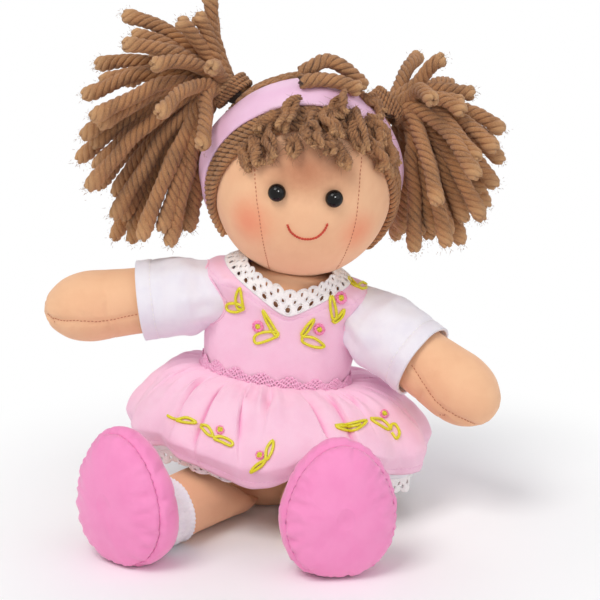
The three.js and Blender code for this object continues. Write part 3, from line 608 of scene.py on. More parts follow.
@dataclass(frozen=True)
class Strand:
    """How a yarn or thread is twisted.

    Attributes:
        radius: Radius of the whole strand.
        plies: How many plies are twisted together.
        pitch: Length of one turn.
        step: Length between two rings of a ply.
        sides: Corners of a ply's section.
        rough: How uneven its surface is.
    """

    radius: float
    plies: int = 1
    pitch: float = 9.0
    step: float = 1.0
    sides: int = 6
    rough: float = 0.0

    def lay(self, name: str, lines: list[Array], material: Material,
            radii: list[Array] | None = None) -> Piece:
        """Makes strands along lines.

        Args:
            name: Name of the piece.
            lines: Points of each strand's middle.
            material: Its material.
            radii: Radius factor at each point, or None for an even strand.

        Returns:
            One mesh object with every strand.
        """
        path = lines_object(f"{name}_path", lines, radii or [np.ones(len(line)) for line in lines])
        fit = 1 / math.sin(math.pi / self.plies) if self.plies > 1 else 0.0
        ply = self.radius / (1 + fit) * (1.05 if self.plies > 1 else 1.0)
        made = YARN.run(name, {
            "Path": path, "Step": self.step * MM, "Ply reach": (self.radius - ply) * MM,
            "Ply radius": ply * MM, "Twist pitch": self.pitch * MM, "Plies": self.plies,
            "Sides": self.sides, "Roughness": self.rough * MM, "Grain": 0.9 / MM, "Material": material,
        })
        bpy.data.objects.remove(path)
        return made


class StitchTree(GeometryTree):
    """Sews short stitches at even steps along lines."""

    def __init__(self) -> None:
        """Builds the tree."""
        super().__init__("sewn_stitches")
        lines = self.lines()
        spacing, length, radius = (self.input(name, "Float") for name in (
            "Spacing", "Length", "Thread radius"))
        material = self.input("Material", "Material")
        places = self.node("GeometryNodeCurveToPoints", {"mode": "LENGTH"},
                           {"Curve": lines, "Length": spacing})
        ball = self.node("GeometryNodeMeshUVSphere", None, {"Segments": 6, "Rings": 5, "Radius": 1.0})
        size = self.vector(radius, radius, length * 0.5)
        stitch = self.node("GeometryNodeTransform", None, {"Geometry": ball, "Scale": size})
        turn = self.node("FunctionNodeAlignRotationToVector", {"axis": "Z"},
                         {"Vector": places.out("Tangent")})
        sewn = self.node("GeometryNodeInstanceOnPoints", None,
                         {"Points": places, "Instance": stitch, "Rotation": turn})
        self.finish(sewn, material)


@dataclass(frozen=True)
class Stitching:
    """A row of stitches.

    Attributes:
        spacing: From one stitch to the next.
        length: Length of a stitch.
        radius: Radius of the thread.
    """

    spacing: float = 1.9
    length: float = 1.4
    radius: float = 0.2

    def sew(self, name: str, lines: list[Array], material: Material) -> Piece:
        """Sews along lines and returns the stitches as one mesh object."""
        path = lines_object(f"{name}_path", lines, [np.ones(len(line)) for line in lines])
        made = STITCHES.run(name, {
            "Path": path, "Spacing": self.spacing * MM, "Length": self.length * MM,
            "Thread radius": self.radius * MM, "Material": material,
        })
        bpy.data.objects.remove(path)
        return made


YARN = YarnTree()
STITCHES = StitchTree()


@dataclass(frozen=True)
class Fabric:
    """A woven, knitted or napped cloth.

    Attributes:
        name: Name of the finish.
        tone: Its colour.
        shade: Its darker colour, for random patches and flecks and as painted shade in the weave's low
            threads.
        weave: How it is made.
        thread: Width of a thread in millimetres.
        relief: Depth of its fine relief in millimetres.
        roughness: Roughness of its threads.
        sheen: Weight of its soft sheen.
        patch: Size of its slow colour changes in millimetres.
        deep: Painted shade inside folds, or None where it has none.
    """

    name: str
    tone: Colour
    shade: Colour
    weave: Weave = Weave.PLAIN
    thread: float = 0.55
    relief: float = 0.05
    roughness: float = 0.82
    sheen: float = 0.15
    patch: float = 9.0
    deep: Colour | None = None

    def grain(self, ink: ShaderTree) -> Value:
        """Height of the cloth's fine relief, from 0 to 1."""
        if self.weave is Weave.NAP:
            return ink.noise(ink.place, 1.1 / (self.thread * MM), 4.0, 0.65)
        u, v = ink.parts(ink.node("ShaderNodeTexCoord").out("UV"))
        turn = math.pi / (self.thread * MM)
        if self.weave is Weave.KNIT:
            lean = (v * turn * 0.8).sine() * 0.9
            return ((u * turn + lean).sine() * (v * turn * 1.6).cosine()) * 0.5 + 0.5
        return ((u * turn).sine() * (v * turn).sine()) * 0.5 + 0.5

    def tones(self, ink: ShaderTree) -> Value:
        """Colour over the cloth, before its grain."""
        slow = ink.noise(ink.place, 1 / (self.patch * MM), 3.0, 0.55).step(0.35, 0.72)
        base = ink.mix(slow * 0.35, self.tone, self.shade)
        if self.deep is None:
            return base
        # Painted shade in the folds, where the mesh's stored fold value is high.
        fold = ink.stored("fold")
        return ink.mix(fold.step(0.25, 1.0) * 0.75, base, self.deep)

    def build(self) -> Material:
        """Makes the material."""
        ink = ShaderTree(self.name)
        grain = self.grain(ink)
        flecks = ink.noise(ink.place, 0.9 / (self.thread * MM), 2.0)
        # Painted shade in the low threads of the weave, with random flecks.
        base = ink.mix((1 - grain) * 0.12 + (flecks - 0.5) * 0.16, self.tones(ink), self.shade)
        return ink.surface(grain * 0.7 + flecks * 0.5, self.relief * MM, {
            "Base Color": base, "Roughness": flecks * 0.12 + (self.roughness - 0.06),
            "Sheen Weight": self.sheen, "Sheen Roughness": 0.5,
        })


@dataclass(frozen=True)
class FaceCloth(Fabric):
    """Skin cloth with powdered cheeks and painted fringe shadow on the forehead.

    Attributes:
        patches: Each patch's middle in metres, colour, radius in millimetres and strength; blush patches and
            painted shadow patches.
    """

    patches: tuple[tuple, ...] = ()

    def tones(self, ink: ShaderTree) -> Value:
        """Colour over the cloth with its powdered blush and its painted forehead shadow."""
        base = super().tones(ink)
        speckle = (ink.noise(ink.place, 0.5 / MM, 3.0) - 0.5) * 0.0024
        # Each patch is blush on a cheek or painted shadow under the fringe.
        for middle, tint, spread, strength in self.patches:
            away = ink.place.vector("DISTANCE", middle)
            share = 1 - (away + speckle).step(0.0, spread * MM)
            base = ink.mix(share * strength, base, tint)
        return base


@dataclass(frozen=True)
class YarnFinish:
    """Soft spun yarn with paler, unravelled ends.

    Attributes:
        name: Name of the finish.
        tone: Colour of the yarn.
        shade: Its darker colour, for random patches and as painted shade in the grooves between its plies.
        light: Colour of its fuzzy fibres and ends.
        tip: Share of the strand that the paler end takes.
        fibre: Width of its fibres in millimetres.
        groove: Shares of the yarn's radius between which the painted groove shade fades from hollow to crest.
    """

    name: str
    tone: Colour
    shade: Colour
    light: Colour
    tip: float = 0.12
    fibre: float = 0.35
    groove: Pair = (0.64, 0.92)

    def build(self) -> Material:
        """Makes the material."""
        ink = ShaderTree(self.name)
        fine = ink.noise(ink.place, 1 / (self.fibre * MM), 3.0, 0.6)
        slow = ink.noise(ink.place, 0.12 / MM, 2.0)
        along = ink.stored("along")
        crest = ink.stored("crest")
        end = along.step(1 - self.tip, 1.0)
        # Painted shade in the grooves between the plies, weaker at the paler ends.
        hollow = 1 - (crest + (fine - 0.5) * 0.1).step(*self.groove)
        base = ink.mix(slow.step(0.35, 0.68) * 0.3, self.tone, self.shade)
        base = ink.mix(fine.step(0.42, 0.72) * 0.55, base, self.light)
        base = ink.mix(hollow * (1 - end * 0.6) * 0.9, base, self.shade)
        base = ink.mix(end * 0.6, base, self.light)
        return ink.surface(fine, 0.3 * MM, {
            "Base Color": base, "Roughness": 0.9, "Sheen Weight": 0.15, "Sheen Roughness": 0.6,
        })


@dataclass(frozen=True)
class ThreadFinish:
    """Sewing or embroidery thread.

    Attributes:
        name: Name of the material.
        tone: Its colour.
        shade: Its darker colour.
        roughness: How matt it is.
        plied: Whether painted shade darkens the grooves between its plies.
    """

    name: str
    tone: Colour
    shade: Colour
    roughness: float = 0.6
    plied: bool = False

    def build(self) -> Material:
        """Makes the material."""
        ink = ShaderTree(self.name)
        fibres = ink.noise(ink.place, 3.0 / MM, 2.0)
        base = ink.mix(fibres.step(0.35, 0.7) * 0.6, self.tone, self.shade)
        if self.plied:
            # Painted shade in the grooves between the plies.
            crest = ink.stored("crest")
            base = ink.mix(1 - crest.step(0.55, 0.95), base, self.shade)
        return ink.surface(fibres, 0.05 * MM, {
            "Base Color": base, "Roughness": self.roughness, "Sheen Weight": 0.1,
        })


@dataclass(frozen=True)
class BeadFinish:
    """Glossy moulded plastic of the eyes.

    Attributes:
        name: Name of the material.
        tone: Its colour.
    """

    name: str
    tone: Colour

    def build(self) -> Material:
        """Makes the material."""
        ink = ShaderTree(self.name)
        smears = ink.noise(ink.place, 0.5 / MM, 3.0)
        base = ink.mix(smears * 0.4, self.tone, colour(22, 17, 17))
        return ink.surface(smears, 0.01 * MM, {
            "Base Color": base, "Roughness": smears * 0.03 + 0.03, "IOR": 1.3,
        })


SKIN = (245, 193, 150)
SEAT = (0.0, 0.0, 0.0)


@dataclass(frozen=True)
class PhotoView:
    """Where the photograph was taken from, and how its picture points meet the doll.

    Attributes:
        target: The point in the middle of the picture.
        distance: From the camera to the target.
        elevation: How far the camera looks down.
        scale: Millimetres to a picture point at the target.
        frame: Width and height of the picture in points.
        sensor: Width of the camera's sensor.
    """

    target: Triple = (13.44, 22.574, 78.727)
    distance: float = 800.0
    elevation: float = math.radians(16)
    scale: float = 0.42
    frame: float = 600.0
    sensor: float = 36.0

    @property
    def back(self) -> Array:
        """Direction from the target to the camera."""
        return np.array([0.0, -math.cos(self.elevation), math.sin(self.elevation)])

    @property
    def eye(self) -> Array:
        """Place of the camera."""
        return np.array(self.target) + self.back * self.distance

    def ray(self, x: float, y: float) -> Array:
        """Direction from the camera through a picture point."""
        up = np.array([0.0, math.sin(self.elevation), math.cos(self.elevation)])
        half = self.frame / 2
        across = np.array([1.0, 0.0, 0.0]) * (x - half) * self.scale
        return across + up * (half - y) * self.scale - self.back * self.distance

    def make_camera(self) -> None:
        """Makes the scene's camera."""
        data = bpy.data.cameras.new("camera")
        data.sensor_width = self.sensor
        data.lens = self.sensor * self.distance / (self.frame * self.scale)
        data.clip_end = 20.0
        item = add_object("camera", data)
        item.location = self.eye * MM
        item.rotation_euler = Vector(-self.back).to_track_quat("-Z", "Y").to_euler()
        bpy.context.scene.camera = item


PHOTO = PhotoView()


class Surface:
    """A finished piece that others lie on."""

    def __init__(self, *pieces: Piece) -> None:
        """Reads the pieces' faces once."""
        points, faces = [], []
        for piece in pieces:
            start = len(points)
            points += [v.co / MM for v in piece.data.vertices]
            faces += [[start + i for i in p.vertices] for p in piece.data.polygons]
        self.tree = BVHTree.FromPolygons(points, faces)

    def seen(self, x: float, y: float) -> tuple[Array, Array]:
        """Point and outward direction that a picture point shows.

        Args:
            x: Picture point from the left.
            y: Picture point from the top.

        Returns:
            The point on the surface and the surface's direction there.
        """
        ray = Vector(PHOTO.ray(x, y)).normalized()
        place, normal, _, _ = self.tree.ray_cast(Vector(PHOTO.eye), ray)
        if place is None:
            place, normal, _, _ = self.tree.find_nearest(Vector(PHOTO.eye) + ray * PHOTO.distance)
        return np.array(place), np.array(normal if normal.dot(ray) < 0 else -normal)

    def lift(self, points: Array, height: float) -> Array:
        """Points laid on the surface at a height over it."""
        laid = []
        for point in points:
            place, normal, _, _ = self.tree.find_nearest(Vector(point))
            laid.append(np.array(place) + np.array(normal) * height)
        return np.array(laid)

    def over(self, picture: Array, height: float) -> Array:
        """Points at a height over the surface at picture points."""
        seen = [self.seen(x, y) for x, y in picture]
        return np.array([place + normal * height for place, normal in seen])

    def line(self, picture: list[Pair], height: float, count: int = 40) -> Array:
        """A smooth line on the surface through picture points.

        Args:
            picture: The picture points.
            height: Height over the surface.
            count: How many points the line gets.

        Returns:
            The line's points.
        """
        return self.over(through(np.array(picture, float), count), height)


@dataclass(frozen=True)
class Spine:
    """Middle line of the torso: upright at the seat, then bending to its lean.

    Attributes:
        lean: Its lean at the top.
        start: Height at which it starts to bend.
        end: Height at which it has bent.
    """

    lean: float = math.radians(9.6)
    start: float = 8.0
    end: float = 62.0

    def angle(self, height: Number) -> Array:
        """Lean at a height."""
        return self.lean * np.clip((height - self.start) / (self.end - self.start), 0, 1)

    def at(self, height: Number, x: Number, y: Number) -> Array:
        """Points beside the spine.

        Args:
            height: Length along the spine.
            x: Distance to the doll's left.
            y: Distance to its back.

        Returns:
            The points.
        """
        height, x, y = np.broadcast_arrays(height, x, y)
        angle = self.angle(height)
        radius = (self.end - self.start) / self.lean
        rest = np.maximum(height - self.end, 0.0)
        across = radius * (1 - np.cos(angle)) + rest * np.sin(angle) + x * np.cos(angle)
        up = np.minimum(height, self.start) + radius * np.sin(angle) + rest * np.cos(angle)
        return np.stack([across, y, up - x * np.sin(angle)], -1)

    def oval(self, height: Number, wide: Number, deep: Number, angle: Array) -> Array:
        """Points of an oval round the spine, from its height, half width and half depth."""
        return self.at(height, wide * np.cos(angle), deep * np.sin(angle))

    def matrix(self, height: float) -> Array:
        """Frame of the spine at a height."""
        turned = turn_matrix(float(self.angle(height)), "Y")
        turned[:3, 3] = self.at(height, 0.0, 0.0)
        return turned


SPINE = Spine()


def cut_away(piece: Piece, centre: Array, radius: float) -> Piece:
    """Cuts a ball out of a piece and returns the piece."""
    cutter = add_object("cutter", bpy.data.meshes.new("cutter"))
    shape = ball_shape(radius * MM, 48, 32)
    cutter.data.from_pydata([tuple(Vector(p) + Vector(centre) * MM) for p in shape[0]], [], shape[1])
    modifier = piece.modifiers.new("cut", "BOOLEAN")
    modifier.object = cutter
    modifier.operation = "DIFFERENCE"
    modifier.solver = "EXACT"
    bake(piece)
    bpy.data.objects.remove(cutter)
    return piece


def ball_shape(radius: float, sides: int, rows: int) -> tuple[list, list]:
    """Points and faces of a closed ball about the origin."""
    points = [(0.0, 0.0, radius)]
    for r in range(1, rows):
        fall = math.pi * r / rows
        for c in range(sides):
            turn = TAU * c / sides
            points.append((radius * math.sin(fall) * math.cos(turn),
                           radius * math.sin(fall) * math.sin(turn), radius * math.cos(fall)))
    points.append((0.0, 0.0, -radius))
    faces = [(0, 1 + c, 1 + (c + 1) % sides) for c in range(sides)]
    for r in range(rows - 2):
        for c in range(sides):
            a, b = 1 + r * sides + c, 1 + r * sides + (c + 1) % sides
            faces.append((a, a + sides, b + sides, b))
    last = 1 + (rows - 2) * sides
    faces += [(last + (c + 1) % sides, last + c, len(points) - 1) for c in range(sides)]
    return points, faces


def thicken(piece: Piece, thickness: float) -> Piece:
    """Gives a cloth its thickness, inwards, and returns the piece."""
    modifier = piece.modifiers.new("thickness", "SOLIDIFY")
    modifier.thickness = thickness * MM
    modifier.offset = -1
    modifier.use_even_offset = False
    return bake(piece)


def settle(piece: Piece, body: str, slot: str, *nodes: str) -> Piece:
    """Joins a finished piece to the doll.

    Args:
        piece: The piece.
        body: The body it moves with.
        slot: Not used.
        nodes: CAD nodes that it stands for.

    Returns:
        The piece.
    """
    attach(piece, body)
    if nodes:
        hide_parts(*nodes)
    log.info("%s: %d faces on %s, %.5f square metres a side", piece.name, len(piece.data.polygons), body,
             sum(p.area for p in piece.data.polygons) / 2)
    return piece


class Palette:
    """The finishes of the doll, each made once."""

    def __init__(self, cheeks: tuple[Triple, ...]) -> None:
        """Makes every material.

        Args:
            cheeks: Middles of the two blush patches on the cheeks and of three patches of painted fringe
                shadow on the forehead, in metres.
        """
        skin = {"tone": colour(*SKIN), "shade": colour(235, 174, 132), "thread": 0.42, "relief": 0.04,
                "weave": Weave.KNIT}
        self.skin = Fabric("skin_cloth", **skin).build()
        # The second colour is painted shadow of the fringe, laid in three patches on the forehead; the first
        # is the cheeks' own blush.
        blush, fringe_shadow = colour(240, 124, 88), colour(172, 98, 60)
        patches = ((cheeks[0], blush, 14.0, 0.66), (cheeks[1], blush, 12.5, 0.55),
                   (cheeks[2], fringe_shadow, 16.0, 0.8), (cheeks[3], fringe_shadow, 14.0, 0.5), (cheeks[4], fringe_shadow, 13.0, 0.5))
        self.face = FaceCloth("face_cloth", **skin, patches=patches).build()
        # The dress's deep colour is painted shade in the skirt's folds.
        self.dress = Fabric("dress_cotton", colour(251, 207, 227), colour(245, 184, 212),
                            deep=colour(240, 150, 196)).build()
        self.white = Fabric("white_cotton", colour(241, 238, 244), colour(222, 216, 231),
                            weave=Weave.KNIT, thread=0.5).build()
        self.white_plain = Fabric("white_lining", colour(248, 247, 249), colour(228, 226, 238)).build()
        self.sock = Fabric("ribbed_knit", colour(249, 249, 250), colour(228, 229, 238), weave=Weave.KNIT,
                           thread=0.7, relief=0.08).build()
        self.shoe_thread = ThreadFinish("shoe_thread", colour(240, 130, 195), colour(226, 106, 178)).build()
        self.dress_thread = ThreadFinish("dress_thread", colour(246, 196, 224), colour(236, 170, 208)).build()
        self.lace = ThreadFinish("cotton_lace", colour(250, 248, 246), colour(232, 226, 224), 0.8).build()
        self.shoe = Fabric("brushed_pink_cloth", colour(250, 148, 199), colour(243, 128, 186),
                           weave=Weave.NAP, thread=0.3, relief=0.07, sheen=0.35).build()
        self.satin = Fabric("satin_ribbon", colour(244, 202, 228), colour(234, 182, 215),
                            thread=0.35, relief=0.012, roughness=0.42, sheen=0.1).build()
        self.yarn = YarnFinish("brown_yarn", colour(174, 118, 70), colour(54, 29, 15),
                               colour(218, 170, 118)).build()
        self.curls = YarnFinish("unravelled_yarn", colour(166, 112, 66), colour(104, 64, 36),
                                colour(208, 158, 106), tip=0.3, groove=(0.3, 0.85)).build()
        self.cap = YarnFinish("wig_base_yarn", colour(104, 66, 38), colour(78, 48, 27),
                              colour(128, 84, 50), tip=0.0).build()
        self.braid = ThreadFinish("pink_braid", colour(252, 202, 227), colour(246, 170, 208), 0.6,
                                  plied=True).build()
        self.leaf = ThreadFinish("yellow_thread", colour(234, 226, 30), colour(204, 190, 14), 0.4,
                                 plied=True).build()
        self.petal = ThreadFinish("pink_thread", colour(250, 150, 192), colour(238, 112, 166), 0.45,
                                  plied=True).build()
        self.mouth = ThreadFinish("mouth_thread", colour(208, 62, 30), colour(176, 44, 22), 0.5).build()
        self.seam = ThreadFinish("seam_thread", colour(206, 128, 94), colour(184, 106, 76), 0.7).build()
        self.bead = BeadFinish("black_bead", colour(12, 9, 9)).build()


@dataclass
class Torso:
    """Stuffed torso and the neck that turns in it.

    Attributes:
        height: Height of the torso along its spine.
        half_width: Half of its width.
        half_depth: Half of its depth.
        neck_hole: Radius of its neck hole.
        rows: Shares of its height, half width and half depth.
        yoke: Heights, and how much wider its shoulders are there.
        collar: Heights, half widths and half depths of its top under the neck lace.
        sides: Points round it.
        steps: Rows of points up it.
        neck_pivot: Height of the neck's pivot.
        neck_radius: Radius of the neck.
        neck_length: How deep the neck stands in the torso.
        ball_radius: Radius of the ball that the head nods on.
        shoulder_height: Height of the arms' joints.
        shoulder_reach: Their distance from the spine.
        shoulder_hollow: Radius of the hollows that the sleeves' caps sit in.
    """

    height: float = 96.0
    half_width: float = 26.6
    half_depth: float = 18.6
    neck_hole: float = 12.0
    rows: tuple[Triple, ...] = (
        (0.0, 0.62, 0.6), (0.02, 0.82, 0.8), (0.07, 0.94, 0.94), (0.18, 1.0, 1.0), (0.4, 0.98, 0.97),
        (0.6, 0.97, 0.94), (0.78, 0.96, 0.9), (0.9, 0.95, 0.86), (0.965, 0.87, 0.78), (0.99, 0.7, 0.72),
    )
    yoke: tuple[Pair, ...] = ((88.0, 0.0), (92.0, 1.0), (94.0, 3.0), (95.2, 5.6), (96.0, 9.6))
    collar: tuple[Triple, ...] = ((97.4, 20.0, 12.4), (98.8, 16.4, 12.0), (99.4, 11.6, 11.4))
    sides: int = 96
    steps: int = 56
    neck_pivot: float = 100.0
    neck_radius: float = 10.6
    neck_length: float = 12.0
    ball_radius: float = 10.4
    shoulder_height: float = 84.0
    shoulder_reach: float = 30.5
    shoulder_hollow: float = 15.0

    def half(self, height: Number) -> tuple[Array, Array]:
        """Half width and half depth at a height."""
        top = (1.0, self.neck_hole / self.half_width, self.neck_hole / self.half_depth)
        table = np.array([*self.rows, top])
        share = np.asarray(height, float) / self.height
        return (np.interp(share, table[:, 0], table[:, 1]) * self.half_width,
                np.interp(share, table[:, 0], table[:, 2]) * self.half_depth)

    def shoulder(self, side: Side) -> Array:
        """Middle of the seam that an arm swings on."""
        return SPINE.at(self.shoulder_height, side.value * self.shoulder_reach, 0.0)

    def build(self, palette: Palette) -> None:
        """Makes the torso's cloth and the neck."""
        ovals = []
        for height in self.height * np.linspace(0, 1, self.steps):
            wide, deep = self.half(height)
            ovals.append((height, wide + np.interp(height, *zip(*self.yoke)), deep))
        floor = self.neck_pivot - self.neck_length - 0.5
        well = self.neck_hole - 0.9
        ovals += [*self.collar, (self.collar[-1][0], well, well), (floor, well, well)]
        rows = np.array([SPINE.oval(*oval, around(self.sides)) for oval in ovals])
        rows[..., 2] = np.maximum(rows[..., 2], 0.0)
        cloth = cloth_grid("torso", rows, palette.skin, poles=(SEAT, SPINE.at(floor, 0.0, 0.0)))
        for side in Side:
            cut_away(cloth, self.shoulder(side), self.shoulder_hollow)
        settle(cloth, "torso", "skin_cloth", "torso_cloth", "torso_filling")
        self.build_neck(palette)

    def build_neck(self, palette: Palette) -> None:
        """Makes the neck, a stuffed stump with a rounded top."""
        bottom = self.neck_pivot - self.neck_length
        climb = np.radians(np.linspace(-20, 84, 18))
        heights = [bottom, bottom + 0.6, bottom + 4, *(self.neck_pivot + self.ball_radius * np.sin(climb))]
        radii = [self.neck_radius - 0.6, self.neck_radius, self.neck_radius,
                 *(self.ball_radius * np.cos(climb))]
        rows = np.array([SPINE.oval(h, r, r, around(self.sides // 2)) for h, r in zip(heights, radii)])
        rows += (outline_normals(rows) * ripple(rows, 5.0, 3.1)[..., None]) * 0.15
        neck = cloth_grid("neck_cloth", rows, palette.skin, poles=(
            SPINE.at(bottom, 0.0, 0.0), SPINE.at(self.neck_pivot + self.ball_radius, 0.0, 0.0)))
        settle(neck, "neck", "skin_cloth", "neck")


BUNCH_TIPS = {
    Side.RIGHT: (
        (-0.15, 0.08, 0.71), (-0.34, -0.1, 0.56), (-0.72, 0.17, 0.56), (-0.7, -0.13, 0.41),
        (-0.92, 0.23, 0.22), (-0.99, 0.0, 0.05), (-0.45, -0.57, 0.03), (-0.9, -0.33, -0.04),
        (-0.99, -0.1, -0.21), (-1.05, 0.12, -0.41), (-0.95, -0.23, -0.53), (-0.95, 0.3, -0.64),
        (-0.8, -0.1, -0.76), (-0.83, 0.2, -0.98), (-0.7, 0.04, -0.96), (-0.6, -0.3, -0.86),
        (-0.42, -0.22, -0.92), (-0.44, 0.12, -1.0), (-0.3, -0.05, -0.86), (-0.5, 0.5, 0.4),
        (-0.75, 0.55, 0.05), (-0.8, 0.55, -0.35), (-0.62, 0.5, -0.7), (-0.3, 0.42, -0.84),
        (-0.16, 0.5, 0.5), (-0.35, 0.8, -0.1), (-0.12, -0.42, 0.3), (-0.18, -0.5, -0.2),
        (-0.5, -0.3, 0.3),
    ),
    Side.LEFT: (
        (0.4, 0.02, 0.42), (0.82, -0.05, -0.08), (0.84, 0.15, -0.34), (0.75, -0.33, -0.16),
        (0.6, -0.57, -0.3), (0.77, -0.15, -0.46), (0.74, 0.1, -0.66), (0.72, 0.27, -0.8),
        (0.66, -0.32, -0.64), (0.54, -0.12, -0.88), (0.42, -0.36, -0.84), (0.32, -0.05, -0.86),
        (0.2, -0.26, -0.9), (0.14, 0.24, -0.88), (0.1, 0.42, -0.98), (0.02, 0.5, -0.86),
        (0.62, 0.1, 0.16), (0.52, -0.3, 0.1), (0.5, 0.52, 0.14), (0.68, 0.5, -0.12),
        (0.62, 0.54, -0.5), (0.36, 0.5, -0.76), (0.24, 0.5, 0.36), (0.3, 0.75, -0.2),
        (0.3, -0.42, 0.2), (0.34, -0.52, -0.5),
    ),
}


@dataclass
class Head:
    """Stuffed head with its face.

    Attributes:
        half: Half width, half depth and half height.
        cheek: How much fuller it is in the cheeks than at the crown.
        roll: Tilt to the doll's left.
        yaw: Turn to the doll's right.
        sink: How far the head sits down over its pivot.
        pivot: Height of the pivot on the spine.
        socket: Radius of the hollow over the neck's ball.
        eye_radius: Radius of an eye's bead.
        eye_spacing: Distance between the eyes.
        eye_shift: How far the middle between them lies to the doll's right.
        eye_height: Height of the eyes over the head's middle.
        eye_out: How far a bead's middle stands off the cloth.
        eye_dent: How deep the cloth is drawn in at an eye.
        smile: Picture points along the mouth.
        sides: Points round its cloth.
        steps: Rows of points up it.
        cheek_points: Picture points in the middle of the powdered cheeks and of three patches of painted
            fringe shadow on the forehead.
        seam_points: Picture points along the two darts of the face.
    """

    half: Triple = (35.5, 34.0, 38.0)
    cheek: float = 0.05
    roll: float = math.radians(-3.2)
    yaw: float = math.radians(4)
    sink: float = 2.5
    pivot: float = 100.0
    socket: float = 11.2
    eye_radius: float = 3.5
    eye_spacing: float = 21.8
    eye_shift: float = -1.7
    eye_height: float = 1.8
    eye_out: float = 1.7
    eye_dent: float = 1.1
    smile: tuple[Pair, ...] = (
        (287.5, 225), (291, 232), (299, 237.5), (307.8, 239), (317, 237), (324, 230.5), (327.4, 224.3),
    )
    sides: int = 112
    steps: int = 84
    cheek_points: tuple[Pair, ...] = ((250, 221), (357, 231), (309, 171), (280, 172), (344, 172))
    seam_points: tuple[tuple[Pair, ...], ...] = (
        ((256, 150), (254.5, 171), (256, 195), (259, 217), (263, 243), (268.5, 267), (272, 276)),
        ((362, 158), (360.5, 175), (358.5, 200), (356, 221), (350, 243), (341.5, 262), (336, 270)),
    )

    @property
    def lift(self) -> float:
        """Height of the head's middle over its pivot."""
        return self.half[2] - self.sink

    @property
    def matrix(self) -> Array:
        """Frame of the head's middle."""
        turn = turn_matrix(self.roll, "Y") @ turn_matrix(self.yaw, "Z")
        return SPINE.matrix(self.pivot) @ turn @ shift_matrix(0, 0, self.lift)

    def round(self, elevation: Array) -> Array:
        """Share of the head's half width at an elevation."""
        return np.cos(elevation) * (1 - self.cheek * np.sin(elevation))

    def local(self, azimuth: Array, elevation: Array, offset: Number) -> Array:
        """Points over the head in its own frame, from angles about it."""
        azimuth, elevation, offset = np.broadcast_arrays(azimuth, elevation, offset)
        level = self.round(elevation)
        return np.stack([(self.half[0] + offset) * level * np.sin(azimuth),
                         -(self.half[1] + offset) * level * np.cos(azimuth),
                         (self.half[2] + offset) * np.sin(elevation)], -1)

    def at(self, azimuth: Array, elevation: Array, offset: Number) -> Array:
        """Points over the head in the doll's frame, from angles in radians."""
        return moved(self.local(azimuth, elevation, offset), self.matrix)

    def face(self, x: Array, z: Array, offset: float) -> Array:
        """Points over the face, from places across and up it."""
        elevation = np.arcsin(np.asarray(z) / self.half[2])
        return self.at(np.arcsin(np.asarray(x) / (self.half[0] * self.round(elevation))), elevation, offset)

    def reach(self, start: Array, ray: Array, offset: float) -> Array:
        """Points where rays from inside the head meet its surface, in its own frame.

        Args:
            start: Where the rays start.
            ray: Their directions.
            offset: Height over the cloth.

        Returns:
            The points.
        """
        low, high = np.zeros(len(ray)), np.full(len(ray), 120.0)
        for _ in range(40):
            middle = (low + high) / 2
            point = start + ray * middle[:, None]
            wide = np.hypot(point[:, 0] / (self.half[0] + offset), point[:, 1] / (self.half[1] + offset))
            sine = np.clip(point[:, 2] / (self.half[2] + offset), -1, 1)
            inside = (wide < self.round(np.arcsin(sine))) & (np.abs(point[:, 2]) < self.half[2] + offset)
            low, high = np.where(inside, middle, low), np.where(inside, high, middle)
        return start + ray * low[:, None]

    def eye_seat(self, side: Side) -> tuple[Array, Array]:
        """Place and direction of an eye in the doll's frame."""
        seat = self.face(self.eye_shift + side.value * self.eye_spacing / 2, self.eye_height, 0.0)
        inner = moved(seat, np.linalg.inv(self.matrix))
        return seat, self.matrix[:3, :3] @ unit(inner / np.square(self.half))

    def build(self, palette: Palette) -> Piece:
        """Makes the head's cloth, its eyes, its mouth and its seams, and returns the cloth."""
        angle = around(self.sides)
        hole = np.arccos(min(1.0, (self.socket + 1.6) / self.half[0]))
        climb = np.linspace(-hole, math.pi / 2 - 0.02, self.steps)
        rows = [self.at(angle, elevation, 0.0) for elevation in climb]
        pivot = np.array([0.0, 0.0, -self.lift])
        cup = []
        for tilt in np.radians([78, 55, 32, 12, 0]):
            ring = self.socket * np.stack([np.cos(tilt) * np.sin(angle), -np.cos(tilt) * np.cos(angle),
                                           np.full_like(angle, math.sin(tilt))], -1)
            cup.append(moved(ring + pivot, self.matrix))
        rows = np.array([*cup, *rows])
        out = outline_normals(rows)
        rows += out * (ripple(rows, 16.0, 5.0) * 0.25 + ripple(rows, 5.0, 9.0) * 0.08)[..., None]
        for side in Side:
            seat, normal = self.eye_seat(side)
            away = np.linalg.norm(rows - seat, axis=-1)
            rows -= normal * (self.eye_dent * bell(away, 0.0, 4.6))[..., None]
        cloth = cloth_grid("head", rows, palette.face, poles=(
            moved(pivot + [0, 0, self.socket], self.matrix), self.at(0.0, math.pi / 2, 0.0)))
        self.draw_seams(cloth, palette)
        settle(cloth, "head", "skin_cloth", "head_cloth", "head_filling")
        self.build_eyes(palette)
        line = Surface(cloth).line(list(self.smile), 0.22, 41)
        inner = moved(np.zeros(3), self.matrix)
        ends = [end + (inner - end) * 0.04 for end in (line[:1], line[-1:])]
        mouth = Strand(0.5, 2, 2.2, 0.25, 6).lay("smile", [np.vstack([ends[0], line, ends[1]])],
                                                 palette.mouth)
        settle(mouth, "head", "thread", "mouth_thread")
        return cloth

